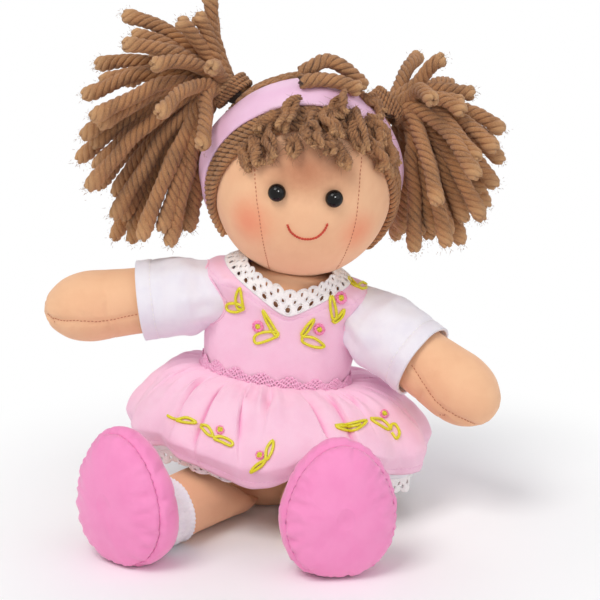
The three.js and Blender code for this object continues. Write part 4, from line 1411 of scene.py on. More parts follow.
    def cheeks(self) -> tuple[Triple, ...]:
        """Middles of the face's blush patches and painted shadow patches in metres."""
        into = np.linalg.inv(self.matrix)
        start = moved(PHOTO.eye, into)
        places = []
        for point in self.cheek_points:
            line = start + unit(into[:3, :3] @ PHOTO.ray(*point)) * np.linspace(650, 780, 1300)[:, None]
            shape = np.linalg.norm(line / np.array(self.half), axis=1)
            hit = line[np.argmax(shape < 1)] if (shape < 1).any() else line[np.argmin(shape)]
            places.append(tuple(float(c) * MM for c in moved(hit, self.matrix)))
        return tuple(places)

    def draw_seams(self, cloth: Piece, palette: Palette) -> None:
        """Draws the cloth in along the two darts of the face and sews them."""
        skin = Surface(cloth)
        lines = [skin.line(list(points), 0.0, 90) for points in self.seam_points]
        draw_in(cloth, lines, 0.35, 1.2)
        drawn = Surface(cloth)
        laid = [drawn.lift(line, 0.08) for line in lines]
        settle(Stitching(1.6, 1.05, 0.22).sew("face_seams", laid, palette.seam), "head", "skin_cloth")

    def build_eyes(self, palette: Palette) -> None:
        """Makes the two shank beads."""
        climb = np.radians(np.linspace(-38, 84, 18))
        for side in Side:
            seat, normal = self.eye_seat(side)
            middle = seat + normal * (self.eye_out - self.eye_dent)
            profile = [(self.eye_radius * 0.24, -6.0), (self.eye_radius * 0.24, -2.6)]
            profile += [(self.eye_radius * math.cos(c), self.eye_radius * 0.93 * math.sin(c)) for c in climb]
            rows = np.array([coiled(middle, normal, around(40), r, h) for r, h in profile])
            poles = (middle - normal * 6.0, middle + normal * self.eye_radius * 0.93)
            eye = cloth_grid(f"{side.word}_eye_bead", rows, palette.bead, poles=poles)
            settle(eye, "head", "bead", f"{side.word}_eye")


@dataclass
class Headband:
    """Satin ribbon round the head, between two tilted planes.

    Attributes:
        head: The head that it goes round.
        tilt: Tilt of the planes.
        set_back: Distance of the front plane behind the head's middle.
        width: Width of the ribbon.
        rest: Height of its inner face over the head.
        thickness: Thickness of the folded ribbon.
        spread: How much farther forward its front edge is pulled out.
    """

    head: Head
    tilt: float = math.radians(27.8)
    set_back: float = 7.0
    width: float = 9.5
    rest: float = 3.95
    thickness: float = 1.1
    spread: float = 8.6

    def loop(self, distance: float, angle: Array, offset: float) -> Array:
        """Points on a loop round the head, parallel to the ribbon.

        Args:
            distance: Distance of the loop's plane behind the head's middle.
            angle: Places round the loop, 0 at the doll's left and a quarter turn at the top.
            offset: Height over the head.

        Returns:
            The points in the doll's frame.
        """
        normal = np.array([0.0, math.cos(self.tilt), math.sin(self.tilt)])
        rise = np.array([0.0, -math.sin(self.tilt), math.cos(self.tilt)])
        ray = np.outer(np.cos(angle), [1.0, 0, 0]) + np.outer(np.sin(angle), rise)
        return moved(self.head.reach(normal * distance, ray, offset), self.head.matrix)

    def build(self, palette: Palette) -> None:
        """Makes the ribbon with its soft folds and turned edges."""
        angle = around(260)
        shares = np.linspace(0, 1, 17)
        turned = smooth_step(0.1, 0.9, -np.cos(angle)) * smooth_step(0.75, 0.1, np.sin(angle))
        rows = np.array([self.loop(self.set_back - self.spread + (self.width + self.spread) * s, angle,
                                   self.rest + self.thickness + 0.5) for s in shares])
        out = outline_normals(rows)
        dip = 1.3 * smooth_step(0.5, 0.0, shares[:, None])
        rows += out * (turned[None] * 3.0 * shares[:, None] - dip)[..., None]
        edge = np.minimum(shares, 1 - shares)[:, None]
        low = smooth_step(0.5, -0.5, np.sin(angle))[None]
        folds = np.cos(shares[:, None] * 15 + 2.5 * np.cos(angle)[None] * low) * 0.5 * low
        crown = 0.35 * np.sin(math.pi * shares)[:, None] - 0.45 * smooth_step(0.1, 0.0, edge)
        wave = ripple(rows * [1, 1, 0.6], 9.0, 2.0) * 0.35
        rows += out * (folds + crown + wave - 0.25)[..., None]
        ribbon = cloth_grid("headband_ribbon", rows, palette.satin)
        thicken(ribbon, self.thickness * 0.7)
        settle(ribbon, "head", "satin", "headband")


@dataclass
class Hair:
    """Wig of laid yarn, its fringe and the loose yarns over the crown.

    Attributes:
        head: The head that wears it.
        band: The ribbon over it.
        strand: The twisted yarn of the bunches.
        laid: The yarn laid over the back of the head.
        hairline: The thinner yarn along the face.
        curl: The unravelled yarn of the fringe.
        curls: How many curls make a tuft.
        fibre: A single loose fibre.
        fuzz: How many fibres stand off each yarn of a bunch.
        brush: How many fibres its cut end has.
        nape: How far below the head's middle the wig ends.
        lead: How far in front of the ribbon the hairline lies.
        strands: How many yarns lie on each half of the back of the head.
        edge_strands: How many more start under the ribbon on each half.
        bunch_azimuth: Where a bunch leaves the head, round it.
        bunch_elevation: Where a bunch leaves the head, up it.
        bunch_back: How far back a bunch points.
        exit: How far from its tie a yarn still follows the bunch.
        bend: Where along its reach a yarn bends.
        lean: How soon it turns to its tip.
        rise: How high it arches, as a share of its length.
        droop: How far a bunch's ends sink.
        crown: Each loose yarn's places over the crown: azimuth, elevation and share of its rise.
        tips: Each bunch's tips as shares of its reach.
        hairline_drops: How far each yarn of the hairline lies in front of the ribbon, and over the head.
        reaches: Length that each bunch's tips are given in.
        tufts: Each tuft's picture points from root to end, its half width and its height.
        root: Radius of a bunch where it is tied.
        crown_rest: Height of the loose yarns over the head.
        crown_rise: How high a loose yarn may stand over the hair.
        between: How near two listed tips are where one more yarn lies between them.
        between_reach: Its length, as a share of the two together.
    """

    head: Head
    band: Headband
    strand: Strand = Strand(3.05, 4, -12.5, 0.88, 7, 0.2)
    laid: Strand = Strand(2.8, 4, -11.5, 0.8, 6, 0.2)
    hairline: Strand = Strand(1.9, 3, 7.6, 0.6, 6, 0.15)
    hairline_drops: tuple[Pair, ...] = ((6.4, 0.0), (9.9, 0.2), (13.1, 0.1), (15.9, -0.5))
    curl: Strand = Strand(1.75, 3, 4.6, 0.55, 5, 0.9)
    curls: int = 6
    fibre: Strand = Strand(0.09, 1, 9.0, 0.7, 3)
    fuzz: int = 40
    brush: int = 70
    nape: float = 20.0
    lead: float = 8.0
    strands: int = 15
    edge_strands: int = 17
    bunch_azimuth: float = math.radians(117)
    bunch_elevation: float = math.radians(39)
    bunch_back: float = 0.75
    root: float = 7.2
    exit: float = 18.0
    bend: float = 0.62
    lean: float = 0.36
    rise: float = 0.16
    crown_rest: float = 8.7
    crown_rise: float = 4.6
    between: float = 0.46
    between_reach: float = 0.46
    droop: float = 5.0
    crown: tuple[tuple[str, tuple[Triple, ...]], ...] = (
        ("crown_yarn_arch", ((-34, 74, 0), (-14, 76, 0.62), (20, 80, 1), (56, 74, 0.75), (74, 62, 0))),
        ("crown_yarn_low", ((-24, 66, 0), (4, 70, 0), (30, 68, 0.08), (50, 60, 0.25))),
    )
    tips: dict = field(default_factory=lambda: BUNCH_TIPS)
    reaches: dict = field(default_factory=lambda: {Side.RIGHT: 60.5, Side.LEFT: 57.5})
    tufts: tuple[tuple[tuple[Pair, ...], float, float], ...] = (
        (((246, 146), (248, 158), (252, 171)), 1.7, 2.4), (((258, 138), (260, 152), (262, 168)), 1.7, 2.6),
        (((272, 128), (274, 146), (277, 163)), 2.2, 3.6), (((300, 110), (290, 122), (284, 137)), 2.7, 5.4),
        (((310, 112), (312, 124), (300, 138)), 2.6, 5.0), (((304, 132), (313, 141), (313, 153)), 2.6, 6.0),
        (((322, 118), (326, 132), (334, 146)), 2.6, 5.4), (((338, 108), (332, 118), (342, 126)), 2.4, 6.6),
        (((346, 116), (350, 136), (356, 158)), 2.7, 5.4), (((336, 146), (338, 158), (341, 172)), 1.8, 3.4),
        (((358, 122), (369, 134), (377, 151)), 2.8, 6.2), (((372, 136), (380, 156), (386, 178)), 2.6, 4.0),
        (((362, 146), (372, 160), (377, 178)), 2.3, 3.6), (((284, 118), (272, 126), (262, 138)), 2.5, 4.0),
        (((292, 136), (296, 146), (290, 156)), 2.0, 3.2), (((322, 144), (330, 150), (324, 158)), 2.0, 3.2),
        (((350, 106), (362, 115), (371, 128)), 2.4, 7.2),
    )

    def towards(self, side: Side, back: float) -> Array:
        """Direction from the head's middle to a bunch, with the share of its way back that counts."""
        azimuth, level = side.value * self.bunch_azimuth, math.cos(self.bunch_elevation)
        return np.array([math.sin(azimuth) * level, -math.cos(azimuth) * level * back,
                         math.sin(self.bunch_elevation)])

    def place(self, side: Side) -> tuple[Array, Array]:
        """Middle of a bunch's tie and the direction it points in, in the head's frame."""
        root = self.head.local(side.value * self.bunch_azimuth, self.bunch_elevation, 3.6)
        out = unit(self.towards(side, self.bunch_back))
        return root + out * (0.3 + self.root), out

    def build(self, palette: Palette, face: Surface) -> None:
        """Makes every piece of the hair."""
        self.build_cap(palette)
        self.build_laid_yarn(palette)
        self.build_fringe(palette, face)
        self.build_crown(palette)
        for side in Side:
            self.build_bunch(side, palette)

    def build_cap(self, palette: Palette) -> None:
        """Makes the knitted base that the yarn is sewn to."""
        angle = around(120)
        rows = np.array([self.head.local(angle, e, 1.2) for e in np.linspace(-0.75, math.pi / 2 - 0.02, 70)])
        cap = cloth_grid("wig_cap", rows, palette.cap, poles=(None, self.head.local(0.0, math.pi / 2, 1.2)))
        normal = Vector((0, math.cos(self.band.tilt), math.sin(self.band.tilt)))
        front = normal * ((self.band.set_back - self.lead + 1.5) * MM)
        cuts = ((front, -normal), (Vector((0, 0, -self.nape * MM)), Vector((0, 0, -1))))
        shape = bmesh.new()
        shape.from_mesh(cap.data)
        for place, direction in cuts:
            parts = [*shape.verts, *shape.edges, *shape.faces]
            bmesh.ops.bisect_plane(shape, geom=parts, plane_co=place, plane_no=direction, clear_outer=True)
        shape.to_mesh(cap.data)
        shape.free()
        self.to_doll(cap)
        thicken(cap, 0.9)
        settle(cap, "head", "yarn", "wig_base")

    def to_doll(self, piece: Piece) -> None:
        """Takes a piece from the head's frame to the doll's."""
        matrix = Matrix(self.head.matrix.tolist())
        matrix.translation = matrix.translation * MM
        piece.data.transform(matrix)

    def build_laid_yarn(self, palette: Palette) -> None:
        """Lays yarn along the hairline and over the back of the head."""
        start = math.asin(-self.nape / (self.head.half[2] * math.cos(self.band.tilt))) - 0.05
        angle = np.linspace(start, math.pi - start, 140)
        front = [self.band.loop(self.band.set_back - drop, angle, lift + self.hairline.radius)
                 for drop, lift in self.hairline_drops]
        settle(self.hairline.lay("wig_hairline", front, palette.yarn), "head", "yarn")
        lines, radii = [], []
        for side in Side:
            end = self.towards(side, 1.0)
            share = np.linspace(0, 0.96, 26)[:, None]
            rising = smooth_step(0.0, 0.3, share[:, 0])
            begins = []
            for index in range(self.strands):
                climb = math.radians(86 - 115 * (index + (side is Side.RIGHT) / 2) / (self.strands - 1))
                begins.append((np.array([-side.value * 0.03, math.cos(climb), math.sin(climb)]), 0.0))
            angle = np.linspace(math.radians(86), -math.radians(88), self.edge_strands)
            angle = angle if side is Side.LEFT else math.pi - angle
            under = self.band.loop(self.band.set_back + self.band.width - 5.5, angle, 0)
            local = moved(under, np.linalg.inv(self.head.matrix)) / self.head.half
            begins += [(unit(ray), 1.0) for ray in local]
            for begin, sunk in begins:
                gap = math.acos(np.clip(begin @ end, -1, 1))
                ray = (begin * np.sin((1 - share) * gap) + end * np.sin(share * gap)) / math.sin(gap)
                azimuth = np.arctan2(ray[:, 0], -ray[:, 1])
                elevation = np.arcsin(np.clip(ray[:, 2], -1, 1))
                size = (1.0 - 0.45 * share[:, 0] ** 3) * (1 - 0.5 * sunk * (1 - rising))
                high = 0.9 + self.laid.radius * (1 - 0.6 * sunk * (1 - rising)) + 2.2 * share[:, 0] ** 3
                lines.append(self.head.at(azimuth, elevation, high))
                radii.append(size)
        settle(self.laid.lay("wig_strands", lines, palette.yarn, radii), "head", "yarn")

    def build_fringe(self, palette: Palette, face: Surface) -> None:
        """Heaps tufts of unravelled yarn over the forehead."""
        draw = np.random.default_rng(7)
        lines, starts, ways = [], [], []
        t = np.linspace(0, 1, 34)
        for path, wide, high in self.tufts:
            middle = face.line(list(path), high, 34)
            out = unit(middle - moved(np.zeros(3), self.head.matrix))
            along = unit(np.gradient(middle, axis=0))
            side = np.cross(along, out)
            for _ in range(self.curls):
                turn, far = draw.uniform(0, TAU), wide * math.sqrt(draw.uniform(0, 1))
                wave, phase = draw.uniform(0.5, 1.3), draw.uniform(0, TAU)
                swirl = phase + TAU * draw.uniform(0.8, 1.9) * t * draw.choice([-1, 1])
                width = far * math.cos(turn) * (0.6 + 0.8 * t) + wave * np.cos(swirl)
                rise = far * math.sin(turn) + wave * np.sin(swirl)
                rise = np.maximum(rise, 1.4 - high)
                line = middle + side * width[:, None] + out * rise[:, None]
                line += np.stack([ripple(line, 2.4, seed) for seed in (1.0, 2.0, 3.0)], -1) * 0.7
                first = int(draw.uniform(0, 8))
                line = line[first:34 - int(draw.uniform(0, 9))]
                lines.append(line)
                for _ in range(24):
                    index = int(draw.uniform(0, len(line)))
                    way = draw.normal(0, 1, 3) + out[index] * 0.5
                    starts.append(line[index] + unit(way) * self.curl.radius * 0.8)
                    ways.append(way + along[index] * 0.6)
        radii = [draw.uniform(0.7, 1.15)
                 * (0.62 + 0.38 * np.sin(math.pi * np.linspace(0.12, 0.95, len(line))))
                 for line in lines]
        settle(self.curl.lay("fringe_curls", lines, palette.curls, radii), "head", "yarn", "fringe")
        self.add_fibres("fringe_fibres", np.array(starts), np.array(ways), "head", palette.curls, 11, 1.5)

    def add_fibres(self, name: str, starts: Array, out: Array, body: str,
                   material: Material, seed: int, length: float = 1.0) -> None:
        """Adds loose fibres that stand off a yarn.

        Args:
            name: Name of the piece.
            starts: Where the fibres start.
            out: Rough direction of each.
            body: The body they move with.
            material: Their material.
            seed: Seed of their random lie.
            length: Length of a usual one.
        """
        draw = np.random.default_rng(seed)
        out = out / (np.linalg.norm(out, axis=1, keepdims=True) + 1e-9)
        lines = []
        for start, way in zip(starts, out):
            way = way + draw.normal(0, 0.7, 3)
            bend = draw.normal(0, 0.9, 3)
            t = np.linspace(0, 1, 5)[:, None] * draw.uniform(0.6, 1.6) * length
            lines.append(start + way * t * 0.8 + bend * t**2 * 0.3)
        radii = [np.linspace(1, 0.3, 5) for _ in lines]
        settle(self.fibre.lay(name, lines, material, radii), body, "yarn")

    def build_crown(self, palette: Palette) -> None:
        """Lays the loose yarns over the crown and the ribbon."""
        for name, rows in self.crown:
            azimuth, elevation, rise = np.array(rows, float).T
            marks = self.head.at(np.radians(azimuth), np.radians(elevation),
                                 self.crown_rest + self.crown_rise * rise)
            line = through(marks, 40)
            piece = self.strand.lay(f"{name}_strand", [line], palette.yarn, [tip_radii(40)])
            settle(piece, "head", "yarn", name)

    def bunch_lines(self, side: Side) -> list[Array]:
        """Middle lines of a bunch's yarns in the doll's frame."""
        tie, out = self.place(side)
        into = np.linalg.inv(self.head.matrix)[:3, :3]
        lines = []
        tips = [np.array(tip) for tip in self.tips[side]]
        tips += [(one + two) * self.between_reach for one, two in zip(tips, tips[1:])
                 if np.linalg.norm(one - two) < self.between]
        for index, share in enumerate(tips):
            tip = into @ (share * self.reaches[side] - [0, 0, self.droop])
            length = np.linalg.norm(tip)
            way = unit(out + tip / length * self.lean)
            marks = [tie - out * 5 + (way - out) * 2, tie + way * self.exit,
                     tie + tip * self.bend + np.array([0, 0, length * self.rise]), tie + tip]
            t = np.linspace(0, 1, 44)[:, None]
            line = ((1 - t) ** 3 * marks[0] + 3 * t * (1 - t) ** 2 * marks[1]
                    + 3 * t**2 * (1 - t) * marks[2] + t**3 * marks[3])
            wander = np.stack([ripple(line, 17.0, index * 3.1 + k) for k in range(3)], -1)
            lines.append(moved(line + wander * 2.4 * np.sin(math.pi * t), self.head.matrix))
        return lines

    def build_bunch(self, side: Side, palette: Palette) -> None:
        """Makes a bunch of twisted yarns, its brushed ends and its tie."""
        lines = self.bunch_lines(side)
        body = f"{side.word}_bunch"
        radii = [tip_radii(len(line)) * (0.6 + 0.4 * smooth_step(0.0, 0.18, np.linspace(0, 1, len(line))))
                 for line in lines]
        bunch = self.strand.lay(f"{side.word}_bunch_strands", lines, palette.yarn, radii)
        settle(bunch, body, "yarn", body)
        draw = np.random.default_rng(20 + side.value)
        starts, ways = [], []
        for line in lines:
            for _ in range(self.fuzz):
                index = int(len(line) * draw.uniform(0.25, 0.99))
                along = line[min(index + 1, len(line) - 1)] - line[index - 1]
                out = unit(np.cross(along, draw.normal(0, 1, 3)))
                starts.append(line[index] + out * self.strand.radius * 0.85)
                ways.append(out + unit(along) * 0.4)
            end = unit(line[-1] - line[-3])
            for _ in range(self.brush):
                way = end + draw.normal(0, 0.45, 3)
                starts.append(line[-1] + (way - end) * 3.4 - end * draw.uniform(0.2, 2.4))
                ways.append(way)
        self.add_fibres(f"{side.word}_bunch_fibres", np.array(starts), np.array(ways), body,
                        palette.curls, 30 + side.value, 0.6)
        tie, out = self.place(side)
        turn = np.linspace(0, 2.6 * TAU, 160)
        coil = moved(coiled(tie, out, turn, self.root + 0.5, (turn / TAU - 1.3) * 2.0), self.head.matrix)
        tied = Strand(1.3, 2, 3.2, 0.5, 6).lay(f"{side.word}_tie_thread", [coil], palette.yarn)
        settle(tied, body, "yarn", f"{side.word}_hair_tie")


def tip_radii(count: int) -> Array:
    """Radius factors of a yarn whose cut end is fuller and then rounds off."""
    share = np.linspace(0, 1, count)
    return 1 + 0.16 * smooth_step(0.86, 0.95, share) - 0.45 * smooth_step(0.965, 1.0, share)


@dataclass(frozen=True)
class Stuffing:
    """Fills a sewn case with a short cloth simulation.

    Attributes:
        pressure: Pressure of the filling.
        slack: How much longer the cloth is than its form, which puckers it along its seams.
        cap: How far a point may move, in millimetres.
        frames: Frames of the simulation.
        grow: How much bigger the simulated copy is, since cloth behaves best near a metre.
        stiffness: How hard the cloth is to bend.
    """

    pressure: float = 5.0
    slack: float = 0.03
    cap: float = 1.0
    frames: int = 14
    grow: float = 18.0
    stiffness: float = 0.4

    def fill(self, piece: Piece, held: Array) -> Piece:
        """Fills a case.

        Args:
            piece: The closed case.
            held: How firmly each point is held, from 0 to 1.

        Returns:
            The piece with the simulation's shape.
        """
        start = points_of(piece)
        piece.data.transform(Matrix.Scale(self.grow, 4))
        group = piece.vertex_groups.new(name="seam")
        for index, weight in enumerate(held):
            if weight > 0.01:
                group.add([index], float(weight), "REPLACE")
        modifier = piece.modifiers.new("filling", "CLOTH")
        modifier.point_cache.frame_start = 1
        modifier.point_cache.frame_end = self.frames
        settings = modifier.settings
        settings.quality = 5
        settings.use_pressure = True
        settings.uniform_pressure_force = self.pressure
        settings.vertex_group_mass = "seam"
        settings.shrink_min = -self.slack
        settings.shrink_max = -self.slack
        settings.bending_stiffness = self.stiffness
        settings.effector_weights.gravity = 0
        modifier.collision_settings.use_collision = False
        for step in range(1, self.frames + 1):
            bpy.context.scene.frame_set(step)
        bake(piece)
        bpy.context.scene.frame_set(1)
        piece.vertex_groups.clear()
        moves = points_of(piece) / self.grow - start
        size = np.linalg.norm(moves, axis=1, keepdims=True)
        set_points(piece, start + moves * self.cap * np.tanh(size / self.cap) / np.maximum(size, 1e-6))
        return piece


def near_lines(piece: Piece, lines: list[Array], spread: float) -> Array:
    """How near each point of a piece is to some lines, from 0 to 1 on them."""
    every = np.vstack(lines)
    away = np.array([np.linalg.norm(every - point, axis=1).min() for point in points_of(piece)])
    return bell(away, 0.0, spread)


def draw_in(piece: Piece, lines: list[Array], depth: float, spread: float) -> None:
    """Draws a padded cloth in along its seams.

    Args:
        piece: The cloth.
        lines: Lines of its seams.
        depth: Depth of the groove in millimetres.
        spread: Half width of the groove in millimetres.
    """
    normals = np.array([v.normal for v in piece.data.vertices])
    set_points(piece, points_of(piece) - normals * (near_lines(piece, lines, spread) * depth)[:, None])


@dataclass
class Arm:
    """Stuffed arm sewn through the sleeve's cap, and its sleeve.

    Attributes:
        side: The doll's side that it hangs on.
        torso: The torso that it is sewn to.
        length: From the joint to the tip of the hand.
        radius: Radius of the hand.
        cap: Radius of the sleeve's cap about the joint; not used.
        sleeve_length: From the joint to the sleeve's hem.
        extra: How much longer the left sleeve hangs than the right.
        hem: Width of the turned hem.
        wall: Thickness of the sleeve's knitted cloth.
        swing: How far each arm points forward, in degrees.
        lift: How far each arm is raised, in degrees.
        rows: Shares of the arm's length, and of its radius there.
        cuff: Places along the sleeve, and its radius there.
        seams: Picture points along each hand's seam.
    """

    side: Side
    torso: Torso
    length: float = 69.0
    radius: float = 13.9
    cap: float = 14.5
    sleeve_length: float = 29.5
    extra: float = 3.2
    hem: float = 6.0
    wall: float = 1.2
    swing: dict = field(default_factory=lambda: {Side.RIGHT: 0.0, Side.LEFT: 33.0})
    lift: dict = field(default_factory=lambda: {Side.RIGHT: -6.7, Side.LEFT: -26.0})
    rows: tuple[Pair, ...] = (
        (0.04, 0.3), (0.11, 0.66), (0.19, 0.88), (0.3, 0.99), (0.45, 0.93), (0.6, 0.96), (0.74, 1.0),
        (0.86, 0.87), (0.95, 0.56), (0.985, 0.3),
    )
    cuff: tuple[Pair, ...] = ((-9.4, 8.7), (-6.2, 11.3), (0.0, 13.3), (5.4, 14.5),
                                             (11.2, 16.2), (23.6, 15.98), (29.5, 15.98))
    seams: dict = field(default_factory=lambda: {
        Side.RIGHT: ((46.5, 314), (52, 318), (64, 321), (80, 321), (96, 322), (112, 320), (122, 318),
                     (136, 315)),
        Side.LEFT: ((412, 366), (424, 385), (436, 402), (450, 413), (464, 420), (478, 425), (490, 421)),
    })

    @property
    def matrix(self) -> Array:
        """Frame of the arm, along X from its joint."""
        swing, lift = math.radians(self.swing[self.side]), math.radians(self.lift[self.side])
        turn = -swing if self.side is Side.LEFT else math.pi + swing
        at = shift_matrix(*self.torso.shoulder(self.side))
        return at @ turn_matrix(turn, "Z") @ turn_matrix(-lift, "Y")

    @property
    def sleeve_end(self) -> float:
        """Distance of the sleeve's hem from the joint."""
        return self.sleeve_length + (self.extra if self.side is Side.LEFT else 0.0)

    def tube(self, table: Array, sides: int, steps: int) -> Array:
        """Rings of a round limb from places along it and their radii, in its own frame."""
        rows = spaced(np.pad(through(table, steps * 3), ((0, 0), (0, 1))), steps)
        angle = around(sides)
        return np.stack([np.repeat(rows[:, :1], sides, 1), rows[:, 1:2] * np.cos(angle),
                         rows[:, 1:2] * np.sin(angle)], -1)

    def build(self, palette: Palette) -> None:
        """Makes the arm, its seam and its sleeve."""
        word = self.side.word
        rows = moved(self.tube(np.array(self.rows) * [self.length, self.radius], sides=84, steps=70),
                     self.matrix)
        ends = [moved(np.array([x, 0.0, 0.0]), self.matrix) for x in (1.6, self.length)]
        cloth = cloth_grid(f"{word}_arm_skin", rows, palette.skin, poles=tuple(ends))
        front = Surface(cloth).line(list(self.seams[self.side]), 0.0, 90)
        into = np.linalg.inv(self.matrix)
        back = moved(moved(front, into) * [1, -1, 1], self.matrix)
        held = near_lines(cloth, [front, back], 1.2)
        held = np.maximum(held, moved(points_of(cloth), into)[:, 0] < 14)
        Stuffing(slack=0.035, cap=0.8).fill(cloth, held)
        draw_in(cloth, [front, back], 0.55, 1.0)
        drawn = Surface(cloth)
        laid = [drawn.lift(line, 0.1) for line in (front, back)]
        seam = Stitching(1.5, 1.1, 0.2).sew(f"{word}_hand_seam", laid, palette.seam)
        settle(seam, f"{word}_arm", "skin_cloth")
        settle(cloth, f"{word}_arm", "skin_cloth", f"{word}_arm_cloth", f"{word}_arm_filling")
        self.build_knot(palette)
        self.build_sleeve(palette)

    def build_knot(self, palette: Palette) -> None:
        """Makes the knotted thread that holds the arm to the torso, inside the sleeve."""
        line = moved(np.array([[-14.4, 0, 0], [-8, 0.5, 0], [-2, 0, 0.3], [1.2, 0.4, 0]], float), self.matrix)
        angle = np.linspace(0, 2.6 * TAU, 60)
        coil = np.stack([np.linspace(-2.4, 2.4, 60), 2.1 * np.cos(angle), 2.1 * np.sin(angle)], -1)
        lines = [through(line, 24), moved(coil, self.matrix)]
        knot = Strand(1.1, 2, 3.0, 0.5, 6).lay(f"{self.side.word}_arm_knot", lines, palette.seam)
        settle(knot, f"{self.side.word}_shoulder", "thread", f"{self.side.word}_arm_seam")

    def build_sleeve(self, palette: Palette) -> None:
        """Makes the knitted sleeve with its folds and its sewn hem."""
        word = self.side.word
        rows = self.tube(np.array(self.cuff), sides=120, steps=72)
        rows[..., 0] += smooth_step(8.0, 29.0, rows[..., 0]) * (self.sleeve_end - 29.5)
        along, angle = rows[..., 0], np.arctan2(rows[..., 2], rows[..., 1])
        out = unit(rows * [0, 1, 1])
        gather = smooth_step(20.0, 4.0, along) * smooth_step(-9.0, 0.0, along)
        free = smooth_step(-4.0, 5.0, along)
        folds = 0.6 * gather * np.sin(7 * angle + 1.3 * np.sin(2 * angle)) * free
        creases = ripple(rows * [0.6, 1, 1], 8.0, 4.0 + self.side.value) * 0.95
        creases += ripple(rows * [1.4, 0.5, 0.5], 5.0, 8.0 + self.side.value) * 0.45
        sewn = self.sleeve_end - self.hem
        hem = smooth_step(sewn - 0.5, sewn + 0.3, along)
        groove = bell(along, sewn, 0.7)
        rows = rows + out * (folds + creases * (1 - 0.5 * hem) * free + 0.28 * hem - 0.3 * groove)[..., None]
        sleeve = cloth_grid(f"{word}_sleeve_cloth", moved(rows, self.matrix), palette.white)
        seam = rows[np.argmin(np.abs(along[:, 0] - sewn))]
        line = moved(closed(seam), self.matrix)
        thicken(sleeve, self.wall)
        stitches = Stitching(2.1, 1.5, 0.18).sew(f"{word}_sleeve_stitches", [Surface(sleeve).lift(line, 0.1)],
                                                 palette.lace)
        settle(stitches, f"{word}_arm", "white_cotton")
        settle(sleeve, f"{word}_arm", "white_cotton", f"{word}_sleeve")


